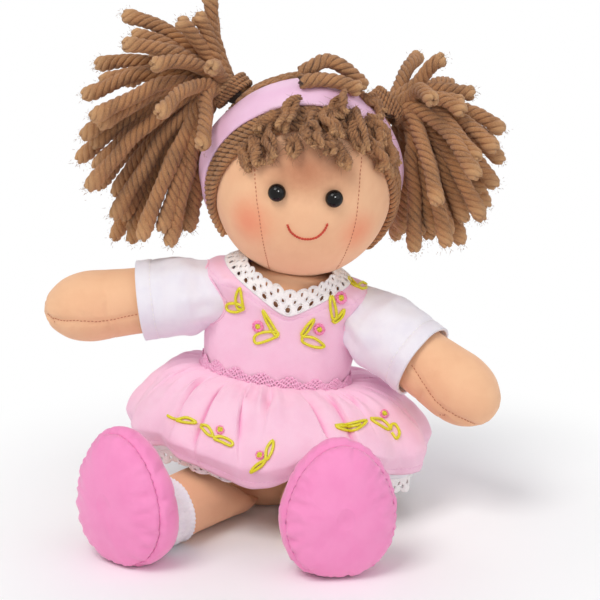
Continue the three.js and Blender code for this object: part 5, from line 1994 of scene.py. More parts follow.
@dataclass
class Leg:
    """Stuffed leg sewn flat to the torso, its sock and its shoe.

    Attributes:
        side: The doll's side.
        splay: How far the leg turns outwards.
        hip: Distance of its seam from the middle.
        seat: How far in front of the spine its seam lies.
        lift: Height of its middle over the floor.
        radius: Radius of the leg.
        skin: Length of the part that shows skin.
        sock: Length of the sock.
        shoe: Depth of the shoe from its top to its sole.
        bulge: How far the sole's middle bulges.
        sole_width: Half width of the sole.
        sole_height: Half height of the sole.
        ankle: Radius of the sock at the ankle.
        egg: How much narrower the sole is at its top.
        raised: Height of the sole's middle over the leg's.
        rows: Shares of the skin's length, and of the radius across, up and down there.
        upper: Shares of the shoe's depth, and of its growth from the ankle to the sole.
        cap: Shares of the sole's bulge, and of its width there.
    """

    side: Side
    splay: float
    hip: float = 15.0
    seat: float = -19.21
    lift: float = 13.0
    radius: float = 12.5
    skin: float = 36.5
    sock: float = 12.0
    shoe: float = 17.0
    bulge: float = 7.0
    sole_width: float = 22.0
    sole_height: float = 27.6
    ankle: float = 13.1
    egg: float = 0.13
    raised: float = 14.1
    rows: tuple[Colour, ...] = (
        (-0.074, 0.62, 0.15, 0.62), (0.0, 0.7, 0.21, 0.62), (0.12, 0.82, 0.36, 0.56),
        (0.28, 0.95, 0.72, 0.27), (0.5, 1.0, 1.0, 0.0), (0.75, 1.0, 1.0, 0.0), (1.0, 1.0, 1.0, 0.0),
    )
    upper: tuple[Pair, ...] = ((0.0, 0.0), (0.05, 0.2), (0.22, 0.55), (0.5, 0.86), (0.78, 0.985),
                                              (1.0, 0.97))
    cap: tuple[Pair, ...] = ((0.0, 0.96), (0.15, 0.93), (0.35, 0.86), (0.6, 0.7), (0.8, 0.5),
                                            (0.93, 0.3), (0.985, 0.14))

    @property
    def turn(self) -> float:
        """Turn of the leg about the upright, to the doll's left."""
        return math.radians(self.side.value * self.splay)

    @property
    def matrix(self) -> Array:
        """Frame of the leg, along X from its seam."""
        at = shift_matrix(self.side.value * self.hip, self.seat, self.lift)
        return at @ turn_matrix(self.turn - math.pi / 2, "Z")

    @property
    def toe(self) -> float:
        """Distance of the sole's seam from the hip."""
        return self.skin + self.sock + 0.3 + self.shoe

    def ring(self, along: float, wide: float, high: float, rise: float, egg: float, sides: int) -> Array:
        """A ring across the leg: its place, half width, half height, rise of its middle and egg shape."""
        angle = around(sides)
        return np.stack([np.full(sides, along), wide * (1 - egg * np.sin(angle)) * np.cos(angle),
                         high * np.sin(angle) + rise], -1)

    def build(self, palette: Palette) -> None:
        """Makes the leg, the sock and the shoe."""
        self.build_skin(palette)
        self.build_sock(palette)
        self.build_shoe(palette)

    def stood(self, points: Array) -> Array:
        """Points in the leg's frame, flattened where they rest on the floor, in the doll's frame."""
        floor = -self.lift
        points = points.copy()
        deep = np.maximum(floor + 1.2 - points[..., 2], 0)
        points[..., 2] = np.maximum(points[..., 2] + np.minimum(deep, 1.2) * 0.3, floor)
        return moved(points, self.matrix)

    def build_skin(self, palette: Palette) -> None:
        """Makes the leg's cloth, flat at the hip and round at the knee."""
        word, sides = self.side.word, 72
        table = through(np.array(self.rows), 50)
        angle = around(sides)
        rows = []
        for share, across, up, sink in table:
            y = across * self.radius * np.cos(angle)
            skew = math.tan(self.turn) * min(1.0, max(0.0, sink) / self.rows[0][3])
            z = up * self.radius * np.sin(angle) - max(0.0, sink) * self.radius
            rows.append(np.stack([share * self.skin + y * skew, y, z], -1))
        rows = np.array(rows)
        out = outline_normals(rows)
        tight = smooth_step(18.0, 2.0, rows[..., 0])
        rows += out * (ripple(rows * [0.5, 1, 1], 5.0, 3.0) * (0.25 + 0.6 * tight))[..., None]
        rows = np.concatenate([rows, rows[-1:] * [1, 0.9, 0.9] + [1.2, 0, 0]])
        skin = cloth_grid(f"{word}_leg_skin", self.stood(rows), palette.skin,
                          poles=(self.stood(rows[0].mean(0)), self.stood(rows[-1].mean(0))))
        settle(skin, f"{word}_leg", "skin_cloth", f"{word}_leg_cloth", f"{word}_leg_filling")

    def build_sock(self, palette: Palette) -> None:
        """Knits the ribbed sock."""
        word, sides = self.side.word, 180
        angle = around(sides)
        rows = []
        for share in np.linspace(0, 1, 40):
            along = self.skin + 0.3 + share * self.sock
            rib = 0.22 * np.cos(45 * angle)
            roll = 0.5 * bell(share, 0.0, 0.1) + 0.35 * bell(share, 0.48, 0.08)
            radius = self.ankle + rib + roll - 0.3 * (1 - bell(share, 0.0, 0.05))
            rows.append(np.stack([np.full(sides, along), radius * np.cos(angle), radius * np.sin(angle)], -1))
        rows = np.array(rows)
        rows[..., 0] += 0.5 * np.sin(2 * angle + 1)[None] * np.linspace(1, 0, 40)[:, None]
        rows += outline_normals(rows) * (ripple(rows, 4.0, 6.0) * 0.3)[..., None]
        sock = cloth_grid(f"{word}_sock_knit", self.stood(rows), palette.sock)
        thicken(sock, 0.6)
        settle(sock, f"{word}_leg", "knit", f"{word}_sock")

    def shoe_rows(self, sides: int) -> tuple[Array, int]:
        """Rings of the whole shoe from its top to the middle of its sole, and the ring of its seam."""
        top = self.skin + self.sock + 0.3
        rows = []
        for share, grow in through(np.array(self.upper), 34):
            grow = min(max(grow, 0.0), 1.0)
            rows.append(self.ring(top + share * self.shoe, self.ankle + (self.sole_width - self.ankle) * grow,
                                  self.ankle + (self.sole_height - self.ankle) * grow, self.raised * grow,
                                  self.egg * grow, sides))
        seam = len(rows) - 1
        for share, size in through(np.array(self.cap), 30)[1:]:
            ring = self.ring(0, self.sole_width, self.sole_height, 0.0, self.egg, sides)
            ring = ring * size + [self.toe + 0.3 + self.bulge * share, 0, self.raised]
            rows.append(ring)
        return np.array(rows), seam

    def build_shoe(self, palette: Palette) -> None:
        """Makes the shoe's upper and its sole, stuffed and sewn together all round."""
        word, sides = self.side.word, 112
        rows, seam = self.shoe_rows(sides)
        inner = rows[:1] * [1, 0.93, 0.93] - [0.5, 0, 0]
        rows = np.concatenate([inner, rows])
        seam += 1
        into = np.linalg.inv(self.matrix)
        apex = np.array([self.toe + 0.3 + self.bulge, 0.0, self.raised])
        whole = cloth_grid(f"{word}_shoe_whole", moved(rows, self.matrix), palette.shoe,
                           poles=(moved(inner[0].mean(0), self.matrix), moved(apex, self.matrix)))
        held = near_lines(whole, [moved(rows[seam], self.matrix)], 1.0)
        points = moved(points_of(whole), into)
        held = np.maximum(held, points[:, 0] < self.skin + self.sock + 3)
        held = np.maximum(held, smooth_step(-self.lift + 0.8, -self.lift - 0.2, points[:, 2]) * 0.9)
        Stuffing(slack=0.06, cap=1.5, stiffness=0.25).fill(whole, held)
        points = moved(points_of(whole), into)
        rings = self.pucker(points[:rows.shape[0] * sides].reshape(rows.shape))
        bpy.data.objects.remove(whole)
        lip = rings[seam:seam + 1] * [1, 0.985, 0.985] + [0.15, 0, self.raised * 0.015]
        upper = cloth_grid(f"{word}_shoe_body", self.stood(np.concatenate([rings[:seam + 1], lip])),
                           palette.shoe,
                           poles=(self.stood(inner[0].mean(0)), self.stood(lip[0].mean(0) - [3.0, 0, 0])))
        settle(upper, f"{word}_leg", "shoe_cloth", f"{word}_shoe_upper")
        back = lip * [1, 0.99, 0.99] + [0.1, 0, self.raised * 0.01]
        sole = cloth_grid(f"{word}_shoe_tread", self.stood(np.concatenate([back, rings[seam + 1:]])),
                          palette.shoe,
                          poles=(self.stood(back[0].mean(0) - [1.0, 0, 0]), self.stood(apex)))
        settle(sole, f"{word}_leg", "shoe_cloth", f"{word}_shoe_sole")
        sewn = Surface(upper, sole).lift(self.stood(closed(lip[0])), 0.05)
        stitches = Stitching(1.8, 1.2, 0.16).sew(f"{word}_shoe_stitches", [sewn], palette.shoe_thread)
        settle(stitches, f"{word}_leg", "shoe_cloth")

    def pucker(self, rings: Array) -> Array:
        """Draws the shoe's cloth in at the sole's seam, with puckers that run from it."""
        out = outline_normals(rings)
        angle = np.arctan2(rings[..., 2] - self.raised, rings[..., 1])
        away = rings[..., 0] - self.toe
        groove = bell(away, 0.0, 1.1)
        fade = bell(away, 0.0, 5.0) * (1 - 0.6 * groove)
        wave = np.sin(23 * angle + 2.2 * np.sin(3 * angle)) * (0.6 + 0.4 * np.sin(5 * angle + 1.0))
        soft = ripple(rings * [0.6, 1, 1], 9.0, 12.0 + self.side.value) * 0.55
        move = 0.32 * fade * wave + soft * (1 - groove) - 0.85 * groove
        move[:2] = 0
        return rings + out * move[..., None]


@dataclass(frozen=True)
class SkirtLayer:
    """A gathered layer of the dress.

    Attributes:
        start: Height at which it is sewn on.
        inset: How far its hem lies inside the outer one.
        drop: How far it hangs below it.
        fold: Depth of its folds.
        over: How far over the torso's cloth it is sewn on.
    """

    start: float
    inset: float
    drop: float
    fold: float
    over: float


@dataclass
class Dress:
    """Pinafore of pink cotton: bodice, neck lace, waist braid, skirt and petticoat.

    Attributes:
        torso: The torso that wears it.
        legs: The legs that it lies over.
        waist: Height of the waist seam.
        cloth: Thickness of the cotton.
        gap: Clear space between two layers.
        socket: Radius of the armholes.
        drops: Drop of the neckline at the throat, rise at the shoulders and drop at the nape.
        stands: Height of the lace at the throat, the shoulders and the nape.
        lace_sides: Reach of the lace's seam over the doll's right and left shoulder.
        lace_lean: How far the lace leans inwards there.
        ease: Heights, and how much wider than the torso the dress is there.
        waves: How many waves the waist braid makes.
        loops: How many small loops its cords make.
        folds: How many soft folds the skirt's hem has.
        pleats: Places round the skirt, in degrees, where its gathers fold in.
        shift: How far the hem's middle lies from the waist's.
        half: Half width and half depth of the hem.
        hem: Height of the hem where no leg lifts it.
        outer: The skirt's own layer.
        lining: The petticoat's layer.
        stitch: The small stitches of its hems.
        bodice_grid: Places round and up the bodice.
        skirt_grid: Places round and down the skirt.
        lining_grid: Places round and down the petticoat.
        flat_from: Height from which the bodice lies flatter on the shoulders.
        knee: Distance from a leg's seam to where the skirt lies over it.
        knee_height: Height of the hem there.
        turned: Share of the skirt's length at which its hem is sewn.
        back_height: Height on the torso whose depth the back of the lace follows.
    """

    torso: Torso
    legs: tuple[Leg, ...]
    waist: float = 54.0
    cloth: float = 0.9
    gap: float = 0.3
    socket: float = 13.1
    drops: Triple = (12.0, 3.0, 1.2)
    stands: Triple = (10.2, 4.8, 2.4)
    lace_sides: Pair = (27.5, 23.5)
    lace_lean: float = 8.6
    ease: tuple[Pair, ...] = ((46, 1.6), (54, 2.4), (66, 4.2), (80, 4.8), (88, 4.2), (96, 2.4))
    waves: int = 17
    loops: int = 102
    folds: int = 11
    pleats: tuple[float, ...] = (-122, -109, -92, -74, -58, -45, -15, 12, 35, 60, 85, 110, 135, 160, 184,
                                 202, 222)
    shift: Pair = (5.0, -9.0)
    half: Pair = (62.0, 50.0)
    hem: float = 27.0
    outer: SkirtLayer = SkirtLayer(54.9, 0.0, 0.0, 2.1, 2.3)
    lining: SkirtLayer = SkirtLayer(50.0, 4.0, 3.0, 1.8, 1.2)
    stitch: Stitching = Stitching(1.9, 1.3, 0.15)
    bodice_grid: tuple[int, int] = (220, 64)
    skirt_grid: tuple[int, int] = (880, 52)
    lining_grid: tuple[int, int] = (300, 50)
    flat_from: float = 96.0
    knee: float = 34.0
    knee_height: float = 35.1
    turned: float = 0.93
    back_height: float = 94.8

    def round_neck(self, angle: Array, throat: float, shoulder: float, nape: float) -> Array:
        """A value that changes round the neck."""
        level = (1.006 - np.sqrt(np.cos(angle) ** 2 + 0.012)) / 0.8965
        front = np.where(np.sin(angle) < 0, np.maximum(level, 0), 0)
        back = np.maximum(0, np.sin(angle)) ** 2
        return shoulder + (throat - shoulder) * front + (nape - shoulder) * back

    def neckline(self, angle: Array) -> Array:
        """Height of the neckline along the spine."""
        throat, shoulder, nape = self.drops
        return self.torso.height + self.round_neck(angle, -throat, shoulder, -nape)

    def over(self, height: Array, angle: Array, offset: Number) -> Array:
        """Points over the torso's cloth."""
        wide, deep = self.torso.half(height)
        wide = wide + np.interp(height, *zip(*self.ease))
        return SPINE.oval(height, wide + offset, deep + offset, angle)

    def build(self, palette: Palette) -> None:
        """Makes the whole dress."""
        bodice = self.build_bodice(palette)
        self.build_lace(palette)
        self.build_braid(palette)
        skirt = self.build_skirt(palette)
        Embroidery(palette).build(Surface(bodice), Surface(skirt))

    def build_bodice(self, palette: Palette) -> Piece:
        """Makes the bodice with its neckline fold, armholes and soft creases."""
        sides, steps = self.bodice_grid
        angle = around(sides)
        top = np.minimum(self.neckline(angle) + 0.9, self.torso.height + 1.2)
        share = np.linspace(0, 1, steps)[:, None]
        height = self.waist + (top - self.waist) * share
        rows = self.over(np.minimum(height, self.flat_from), angle, self.gap + self.cloth)
        rows[..., 2] += np.maximum(0, height - self.flat_from) * 0.6
        rim = self.lace_point(angle, np.full(sides, 0.06), 0.2)
        rows += (rim - rows[-1]) * smooth_step(0.66, 1.0, share)[..., None]
        out = outline_normals(rows)
        creases = ripple(rows * [1, 1, 0.55], 7.5, 2.0) * 0.55
        creases += ripple(rows * [1, 1, 0.35], 4.0, 6.0) * 0.45 * smooth_step(0.45, 0.0, share)
        fold = 0.45 * bell(share, 0.965, 0.02) - 0.3 * bell(share, 0.925, 0.012)
        rows += out * ((creases + fold) * (1 - 0.7 * smooth_step(0.9, 1.0, share)))[..., None]
        bodice = cloth_grid("bodice", rows, palette.dress)
        thicken(bodice, self.cloth)
        for side in Side:
            cut_away(bodice, self.torso.shoulder(side), self.socket)
        settle(bodice, "torso", "dress_cotton", "dress_bodice")
        rings = [through(self.armhole(bodice, side), 200) for side in Side]
        welts = Strand(0.78, 2, 60.0, 0.6, 8).lay("armhole_welts", rings, palette.dress)
        settle(welts, "torso", "dress_cotton")
        seam = Surface(bodice).lift(rows[58, 112:219], 0.08)
        settle(self.stitch.sew("neckline_stitches", [seam], palette.dress_thread), "torso", "dress_cotton")
        return bodice

    def armhole(self, bodice: Piece, side: Side) -> Array:
        """Closed line round an armhole's outer edge.

        Args:
            bodice: The bodice with its armholes cut.
            side: The side of the armhole.

        Returns:
            Points of the line.
        """
        turned = SPINE.matrix(self.torso.shoulder_height)[:3, :3]
        middle = self.torso.shoulder(side)
        points = points_of(bodice) - middle
        local = points[np.abs(np.linalg.norm(points, axis=1) - self.socket) < 0.03] @ turned
        turn = np.arctan2(local[:, 2], local[:, 1])
        ring = []
        for low in around(48) - math.pi:
            near = local[(turn >= low) & (turn < low + TAU / 48)]
            if len(near):
                ring.append(near[np.argmax(near[:, 0] * side.value)])
        ring = np.array(ring)
        for _ in range(3):
            ring = (np.roll(ring, 1, 0) + ring * 2 + np.roll(ring, -1, 0)) / 4
        return closed(ring) @ turned.T + middle

    def lace_point(self, angle: Array, share: Array, out: Number) -> Array:
        """A point of the neck lace.

        Args:
            angle: Place round the neck.
            share: 0 at its seam and 1 at its free edge.
            out: Height over its inner face.

        Returns:
            The point.
        """
        lap = self.gap * 2 + self.cloth
        height = self.neckline(angle) + share * self.round_neck(angle, *self.stands)
        front = self.torso.half(height)[1] + lap
        back = self.torso.half(self.back_height)[1] + lap + share * 3.0
        ahead = np.where(np.sin(angle) < 0, front, back)
        side = np.where(np.cos(angle) < 0, *self.lace_sides) - self.lace_lean * share * np.cos(angle) ** 2
        reach = ahead + (side - ahead) * np.cos(angle) ** 2
        return SPINE.oval(height, side + out, reach + out, angle)

    def lace_wave(self, angle: Array, share: Array) -> Array:
        """How far the neck lace stands off its seam."""
        return 0.9 + 0.35 * np.sin(angle * 9) * share + 0.5 * np.sin(angle * 23 + 2) * share**2

    def build_lace(self, palette: Palette) -> None:
        """Makes the eyelet lace: round holes, cord round each, and a scalloped edge."""
        tiles, per, mesh_rows = 34, 12, 14
        count = tiles * per
        holes = ((0.5, 0.27, 0.23, 0.13), (0.0, 0.58, 0.14, 0.09), (0.5, 0.78, 0.09, 0.07))
        points = []
        for r in range(mesh_rows + 1):
            for c in range(count):
                u, v = c / per, r / mesh_rows
                cell = u - math.floor(u)
                for hu, hv, wide, high in holes:
                    du = (cell - hu + 0.5) % 1.0 - 0.5
                    dv = v - hv
                    size = math.hypot(du / wide, dv / high)
                    if 1e-6 < size < 1.35:
                        push = 1.0 if size < 1.0 else 1 + (size - 1) * 0.55
                        du, dv = du / size * push, dv / size * push
                        u = math.floor(u - hu + 0.5) + hu + du
                        v = hv + dv
                points.append((u, min(1.0, max(0.0, v)) * scallop(cell, 0.86, 0.16) + 0.02))
        along, share = np.array(points).T
        angle = along / tiles * TAU
        laid = self.lace_point(angle, share, self.lace_wave(angle, share))
        faces = eyelet_faces(mesh_rows, count, per, holes)
        lace = mesh_object("neck_eyelet_lace", laid, faces, None, palette.lace)
        bm_clean(lace)
        thicken(lace, 0.5)
        settle(lace, "torso", "lace", "neck_lace")
        cords = []
        for tile in range(tiles):
            for hu, hv, wide, high in holes[:2]:
                turn = np.linspace(0, TAU, 19)
                u = (tile + hu + wide * 1.06 * np.cos(turn)) / tiles * TAU
                v = (hv + high * 1.06 * np.sin(turn)) * 0.98
                cords.append(self.lace_point(u, v, self.lace_wave(u, v) + 0.12))
        u = np.linspace(0, TAU, tiles * 16 + 1)
        v = 0.99 * scallop((u / TAU * tiles) % 1.0, 0.86, 0.16) + 0.02
        cords.append(self.lace_point(u, v, self.lace_wave(u, v)))
        edging = Strand(0.3, 2, 1.6, 0.35, 5).lay("neck_lace_cord", cords, palette.lace)
        settle(edging, "torso", "lace")

    def build_braid(self, palette: Palette) -> None:
        """Weaves the waved braid over the waist seam from parallel cords."""
        angle = np.linspace(0, TAU, 1400)
        cords = []
        for number, row in enumerate(np.linspace(-1, 1, 6)):
            height = self.waist + 1.8 + row * 2.0 + 1.15 * np.sin(self.waves * angle)
            height += 0.42 * np.sin(self.loops * angle + math.pi * number)
            over = np.interp(height - self.waist, (-1, 1.2, 3, 5), (3.0, 2.95, 2.0, 1.8))
            cords.append(self.over(height, angle, over + 0.25 * (1 - row * row)))
        braid = Strand(0.48, 2, 1.9, 0.35, 5).lay("waist_braid", cords, palette.braid)
        settle(braid, "torso", "braid", "waist_trim")

    def hem_height(self, angle: Array) -> Array:
        """Height of the hem round the skirt."""
        across, front, back = np.cos(angle), np.maximum(0, -np.sin(angle)), np.maximum(0, np.sin(angle))
        height = self.hem - 5.5 * across - 7 * front**2 - 10 * back**2
        for leg in self.legs:
            x = leg.side.value * leg.hip + self.knee * math.sin(leg.turn) - self.shift[0]
            y = leg.seat - self.knee * math.cos(leg.turn) - self.shift[1]
            away = angle - math.atan2(y, x)
            away = np.arctan2(np.sin(away), np.cos(away))
            height = height + (self.knee_height - height) * bell(away, 0.0, 0.42)
        return height

    def skirt_point(self, angle: Array, share: Array, layer: SkirtLayer, fine: float) -> Array:
        """A point of a gathered layer.

        Args:
            angle: Place round the waist.
            share: 0 at the waist and 1 at the hem.
            layer: The layer.
            fine: Depth of the finer gathers under the waist.

        Returns:
            The point.
        """
        angle, share = np.broadcast_arrays(angle, share)
        across, along = np.cos(angle), np.sin(angle)
        top = self.over(layer.start, angle, layer.over)
        fold = layer.fold * share * np.sin(self.folds * angle + 0.9 * np.sin(2 * angle))
        gathers = np.sin(37 * angle + 2.5 * np.sin(3 * angle)) * (0.6 + 0.4 * np.sin(7 * angle + 1))
        fold = fold + fine * gathers * bell(share, 0.16, 0.2)
        fold = fold + fine * 0.5 * np.sin(19 * angle + 1.7 * np.sin(2 * angle)) * share * (1 - 0.5 * share)
        spread = np.sin(math.pi / 2 * np.minimum(1, share * 1.12)) ** 0.8
        out = spread - 0.5 * np.maximum(0, share - 0.8)
        puff = 2.8 * np.sin(math.pi * np.minimum(1, share / 0.5)) * (1 - share)
        x = self.shift[0] + (self.half[0] - layer.inset) * across
        y = self.shift[1] + (self.half[1] - layer.inset) * along
        z = self.hem_height(angle) - layer.drop * (1 - 0.75 * np.maximum(0, -along) ** 4)
        lift = fine * 0.9 * gathers * bell(share, 0.13, 0.13)
        return np.stack([top[..., 0] + (x - top[..., 0]) * out + fold * across,
                         top[..., 1] + (y - top[..., 1]) * out + fold * along,
                         top[..., 2] + (z - top[..., 2]) * share**1.5 + puff + lift], -1)

    def pleat(self, angle: Array, share: Array) -> Array:
        """How far the skirt is folded in at a place, from 0 to 1."""
        total = np.zeros(np.broadcast(angle, share).shape)
        for index, place in enumerate(self.pleats):
            away = angle - math.radians(place) - 0.16 * math.sin(index * 2.4) * share
            away = np.arctan2(np.sin(away), np.cos(away)) * (1 if index % 2 else -1)
            far = 0.55 + 0.28 * math.sin(index * 1.9 + 1)
            near = np.where(away > 0, np.exp(-away / (0.04 + 0.05 * share)), bell(away, 0.0, 0.0115))
            total += near * smooth_step(far + 0.3, far - 0.25, share)
        return np.minimum(total, 1.0) * smooth_step(0.03, 0.2, share)

    def build_skirt(self, palette: Palette) -> Piece:
        """Makes the skirt, the petticoat and its lace, and returns the skirt."""
        sides, steps = self.skirt_grid
        angle = around(sides)
        share = (np.linspace(0, 1, steps) ** 1.1)[:, None]
        rows = self.skirt_point(angle, share, self.outer, 1.1)
        out = outline_normals(rows)
        hem = 0.3 * (smooth_step(self.turned, self.turned + 0.015, share) - bell(share, self.turned, 0.008))
        rows += out * (ripple(rows, 13.0, 3.0) * share + ripple(rows, 5.5, 7.0) * 0.35 + hem)[..., None]
        fold = self.pleat(angle, share)
        rows -= out * (2.9 * fold)[..., None]
        seam = rows[np.argmin(np.abs(share[:, 0] - self.turned))]
        skirt = cloth_grid("skirt_cloth", rows, palette.dress)
        # Stores how far the skirt folds in, for the painted shade in its folds.
        skirt.data.attributes.new("fold", "FLOAT", "POINT").data.foreach_set("value", (fold**2).ravel())
        thicken(skirt, self.cloth)
        settle(skirt, "torso", "dress_cotton", "skirt")
        line = Surface(skirt).lift(closed(seam), 0.08)
        settle(self.stitch.sew("skirt_stitches", [line], palette.dress_thread), "torso", "dress_cotton")
        sides, steps = self.lining_grid
        rows = self.skirt_point(around(sides), np.linspace(0.02, 1, steps)[:, None], self.lining, 0.5)
        petticoat = cloth_grid("petticoat_cloth", rows, palette.white_plain)
        thicken(petticoat, 0.7)
        settle(petticoat, "torso", "white_cotton", "petticoat")
        self.build_petticoat_lace(palette)
        return skirt

    def build_petticoat_lace(self, palette: Palette) -> None:
        """Makes the lace that hangs from the petticoat's hem."""
        tiles, per, high = 72, 8, 10
        count = tiles * per
        angle = around(count)
        base = self.skirt_point(angle, np.array(1.0), self.lining, 0.0)
        fall = unit(base - self.skirt_point(angle, np.array(0.93), self.lining, 0.0)) * [0.55, 0.55, 1]
        deep = 4.4 + 4.6 * np.cos(angle) ** 2 - 3.6 * np.maximum(0, -np.sin(angle)) ** 4
        deep *= scallop((np.arange(count) / per) % 1.0, 0.84, 0.18)
        out = np.stack([np.cos(angle), np.sin(angle), 0 * angle], -1) * 0.9 * np.sin(31 * angle)[:, None]
        laid = np.vstack([base + fall * (deep * share - 0.6)[:, None] + out * share
                          for share in np.linspace(0, 1, high + 1)])
        holes = ((0.5, 0.4, 0.2, 0.12), (0.0, 0.7, 0.14, 0.08))
        faces = eyelet_faces(high, count, per, holes)
        lace = mesh_object("petticoat_edging", laid, faces, None, palette.lace)
        bm_clean(lace)
        thicken(lace, 0.6)
        settle(lace, "torso", "lace", "petticoat_lace")


def scallop(cell: Number, low: float, rise: float) -> Array:
    """Depth of a scalloped edge, from places across a scallop."""
    return low + rise * np.sqrt(np.maximum(0.0, np.sin(math.pi * cell)))


def eyelet_faces(rows: int, count: int, per: int, holes: tuple[tuple[float, ...], ...]) -> list:
    """Faces of a ring of lace that leave its holes open.

    Args:
        rows: Rows of faces.
        count: Faces in a row.
        per: Faces across a scallop.
        holes: Place across and down a scallop, half width and half height of each hole.

    Returns:
        The faces.
    """
    faces = []
    for r in range(rows):
        for c in range(count):
            u, v, n = ((c + 0.5) / per) % 1.0, (r + 0.5) / rows, (c + 1) % count
            if all(math.hypot(((u - hu + 0.5) % 1.0 - 0.5) / wide, (v - hv) / high) >= 1.0
                   for hu, hv, wide, high in holes):
                faces.append((r * count + c, r * count + n, (r + 1) * count + n, (r + 1) * count + c))
    return faces


def bm_clean(piece: Piece) -> None:
    """Removes points that no face uses."""
    shape = bmesh.new()
    shape.from_mesh(piece.data)
    loose = [v for v in shape.verts if not v.link_faces]
    bmesh.ops.delete(shape, geom=loose, context="VERTS")
    shape.to_mesh(piece.data)
    shape.free()


@dataclass
class Embroidery:
    """Leaves and ring flowers sewn on the dress by hand.

    Attributes:
        palette: The doll's finishes.
        leaves: Picture points along each leaf of the bodice.
        flowers: Picture points in the middle of each flower of the bodice.
        sprays: Picture points along each leaf of the skirt.
        buds: Picture points of the skirt's knots.
    """

    palette: Palette
    leaves: tuple[tuple[Pair, ...], ...] = (
        ((244, 309), (242, 298), (240, 288), (236, 297), (238, 308)),
        ((244, 309), (236, 312), (228, 310), (228, 304), (236, 303), (243, 306)),
        ((278, 334), (271, 322), (263, 310), (267, 322), (275, 335)),
        ((278, 336), (266, 341), (256, 343), (255, 336), (264, 332), (277, 332)),
        ((301, 334), (307, 325), (314, 319), (309, 329), (303, 336)),
        ((302, 336), (314, 338), (324, 346), (315, 347), (303, 342)),
        ((332, 318), (330, 306), (331, 295), (335, 306), (336, 318)),
        ((332, 320), (338, 316), (344, 309), (342, 316), (335, 322)),
        ((347, 277), (352, 281), (357, 287), (351, 284)), ((357, 287), (362, 283), (367, 287), (362, 289)),
    )
    flowers: tuple[Pair, ...] = ((258, 326), (319, 329), (341, 298))
    sprays: tuple[tuple[Pair, ...], ...] = (
        ((168, 416), (171, 418), (177, 420), (187, 418), (196, 423), (186, 423), (177, 421)),
        ((200, 425), (208, 427), (213, 436), (207, 434), (201, 427)),
        ((213, 438), (221, 437), (232, 442), (231, 446), (221, 442), (214, 439)),
        ((266, 460), (267, 449), (273, 441), (273, 449), (269, 458), (266, 460)),
        ((266, 460), (257, 465), (251, 472), (261, 467), (266, 461)),
        ((335, 426), (350, 424), (366, 421), (358, 429), (347, 431), (336, 427), (350, 427), (360, 425)),
        ((370, 419), (381, 420), (389, 427), (387, 430), (375, 423), (371, 420)),
        ((390, 430), (391, 425), (395, 425), (399, 433), (396, 439), (391, 433)),
    )
    buds: tuple[Pair, ...] = ((220, 430), (260, 455), (384, 414))

    def build(self, bodice: Surface, skirt: Surface) -> None:
        """Sews everything on."""
        thread = Strand(0.62, 1, 9.0, 0.45, 7, 0.12)
        leaves = [bodice.line([*leaf, leaf[0]], 0.45, 36) for leaf in self.leaves]
        sprays = [skirt.line(list(leaf), 0.45, 30) for leaf in self.sprays]
        flowers = [self.ring(bodice, flower, 4.6, 0.4) for flower in self.flowers]
        knots = [self.knot(bodice, flower) for flower in self.flowers]
        knots += [self.knot(skirt, bud) for bud in self.buds]
        buds = [self.ring(skirt, bud, 3.6, 0.3) for bud in self.buds]
        for name, strand, lines, material in (
                ("bodice_leaves", thread, leaves, self.palette.leaf),
                ("skirt_leaves", thread, sprays, self.palette.leaf),
                ("bodice_flowers", Strand(0.75, 2, 2.4, 0.35, 6), flowers, self.palette.petal),
                ("flower_knots", Strand(0.55, 2, 2.2, 0.3, 6), knots, self.palette.leaf),
                ("skirt_flowers", Strand(0.5, 2, 2.2, 0.35, 6), buds, self.palette.petal)):
            settle(strand.lay(name, lines, material), "torso", "thread")

    def ring(self, surface: Surface, middle: Pair, radius: float, height: float) -> Array:
        """Two turns of thread round a flower, on the surface."""
        turn = np.linspace(0, 2 * TAU, 60)
        wide = radius * (1 - 0.12 * turn / TAU)
        picture = np.array(middle) + np.stack([wide * np.cos(turn), wide * np.sin(turn) * 1.05], -1)
        return surface.over(picture, height)

    def knot(self, surface: Surface, middle: Pair) -> Array:
        """A small coiled knot on the surface."""
        place, normal = surface.seen(*middle)
        turn = np.linspace(0, 3 * TAU, 60)
        return coiled(place, normal, -turn, 0.95 * (1 - turn / (3.6 * TAU)), 0.4 + turn / (3 * TAU) * 0.7)


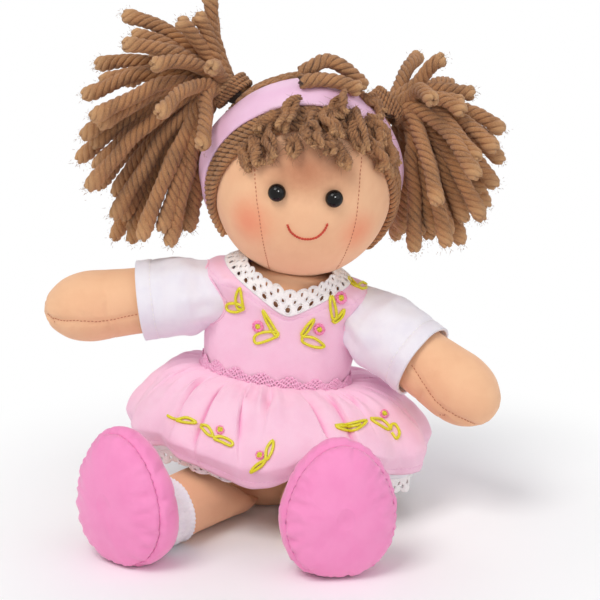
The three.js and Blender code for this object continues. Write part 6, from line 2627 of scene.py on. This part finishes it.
@dataclass
class Studio:
    """Floor, lights and background.

    Attributes:
        middle: Point that the lights look at, in metres.
        reach: Radius of the floor.
    """

    middle: Triple = (0.01, -0.01, 0.09)
    reach: float = 3.0

    def build(self) -> None:
        """Makes the floor, the world and the lights."""
        mesh = bpy.data.meshes.new("floor")
        size = self.reach
        mesh.from_pydata([(-size, -size, 0), (size, -size, 0), (size, size, 0), (-size, size, 0)], [],
                         [(0, 1, 2, 3)])
        floor = add_object("floor", mesh)
        mesh.materials.append(self.floor_finish())
        self.build_world()
        self.light("key", (-0.6, -0.85, 1.55), 0.8, 14.8, (1.0, 0.985, 0.965))
        self.light("fill", (1.2, -0.9, 0.8), 1.2, 4.6, (0.98, 0.985, 1.0))
        self.light("rim", (0.4, 1.2, 1.1), 0.9, 4.0, (1.0, 1.0, 1.0))
        self.light("glint", (0.36, -1.05, 0.72), 0.3, 10.0, (1.0, 1.0, 1.0)).visible_diffuse = False

    def floor_finish(self) -> Material:
        """A matt pale floor that turns to white away from the doll."""
        ink = ShaderTree("studio_floor")
        grain = ink.noise(ink.place, 90.0, 3.0)
        base = ink.mix(grain * 0.2, (0.95, 0.95, 0.955, 1), (0.92, 0.92, 0.925, 1))
        matt = ink.node("ShaderNodeBsdfPrincipled", None, {"Base Color": base, "Roughness": 0.9})
        glow = ink.node("ShaderNodeEmission", None, {"Color": (1, 1, 1, 1), "Strength": 1.0})
        x, y = ink.parts(ink.place)
        away = ((x - 0.015) ** 2.0 + (y + 0.03) ** 2.0).math("SQRT")
        share = ink.seen_white() * away.step(0.075, 0.2)
        mixed = ink.node("ShaderNodeMixShader", None, {0: share, 1: matt, 2: glow})
        ink.node("ShaderNodeOutputMaterial", None, {"Surface": mixed})
        return ink.material

    def build_world(self) -> None:
        """A pale world that shows as white."""
        world = bpy.data.worlds.new("studio")
        world.use_nodes = True
        bpy.context.scene.world = world
        ink = Tree(world.node_tree)
        ink.tree.nodes.clear()
        soft = ink.node("ShaderNodeBackground", None, {"Color": (0.95, 0.96, 1.0, 1), "Strength": 0.5})
        white = ink.node("ShaderNodeBackground", None, {"Color": (1, 1, 1, 1), "Strength": 1.0})
        mixed = ink.node("ShaderNodeMixShader", None, {0: ink.seen_white(), 1: soft, 2: white})
        ink.node("ShaderNodeOutputWorld", None, {"Surface": mixed})

    def light(self, name: str, place: Triple, size: float, power: float, tint: Triple) -> Piece:
        """Adds one soft square light that looks at the doll, and returns it."""
        data = bpy.data.lights.new(name, "AREA")
        data.size = size
        data.energy = power
        data.color = tint
        item = add_object(name, data)
        item.location = place
        item.rotation_euler = (Vector(self.middle) - Vector(place)).to_track_quat("-Z", "Y").to_euler()
        return item


def main() -> None:
    """Builds the doll, piece by piece, and its studio."""
    logging.basicConfig(level=logging.INFO, format="%(name)s: %(message)s")
    bpy.context.scene.view_settings.view_transform = "Standard"
    PHOTO.make_camera()
    head = Head()
    palette = Palette(head.cheeks())
    torso = Torso()
    torso.build(palette)
    face = Surface(head.build(palette))
    band = Headband(head)
    band.build(palette)
    Hair(head, band).build(palette, face)
    for side in Side:
        Arm(side, torso).build(palette)
    legs = (Leg(Side.RIGHT, 38.0), Leg(Side.LEFT, 12.0))
    for leg in legs:
        leg.build(palette)
    Dress(torso, legs).build(palette)
    Studio().build()


if __name__ == "__main__":
    main()
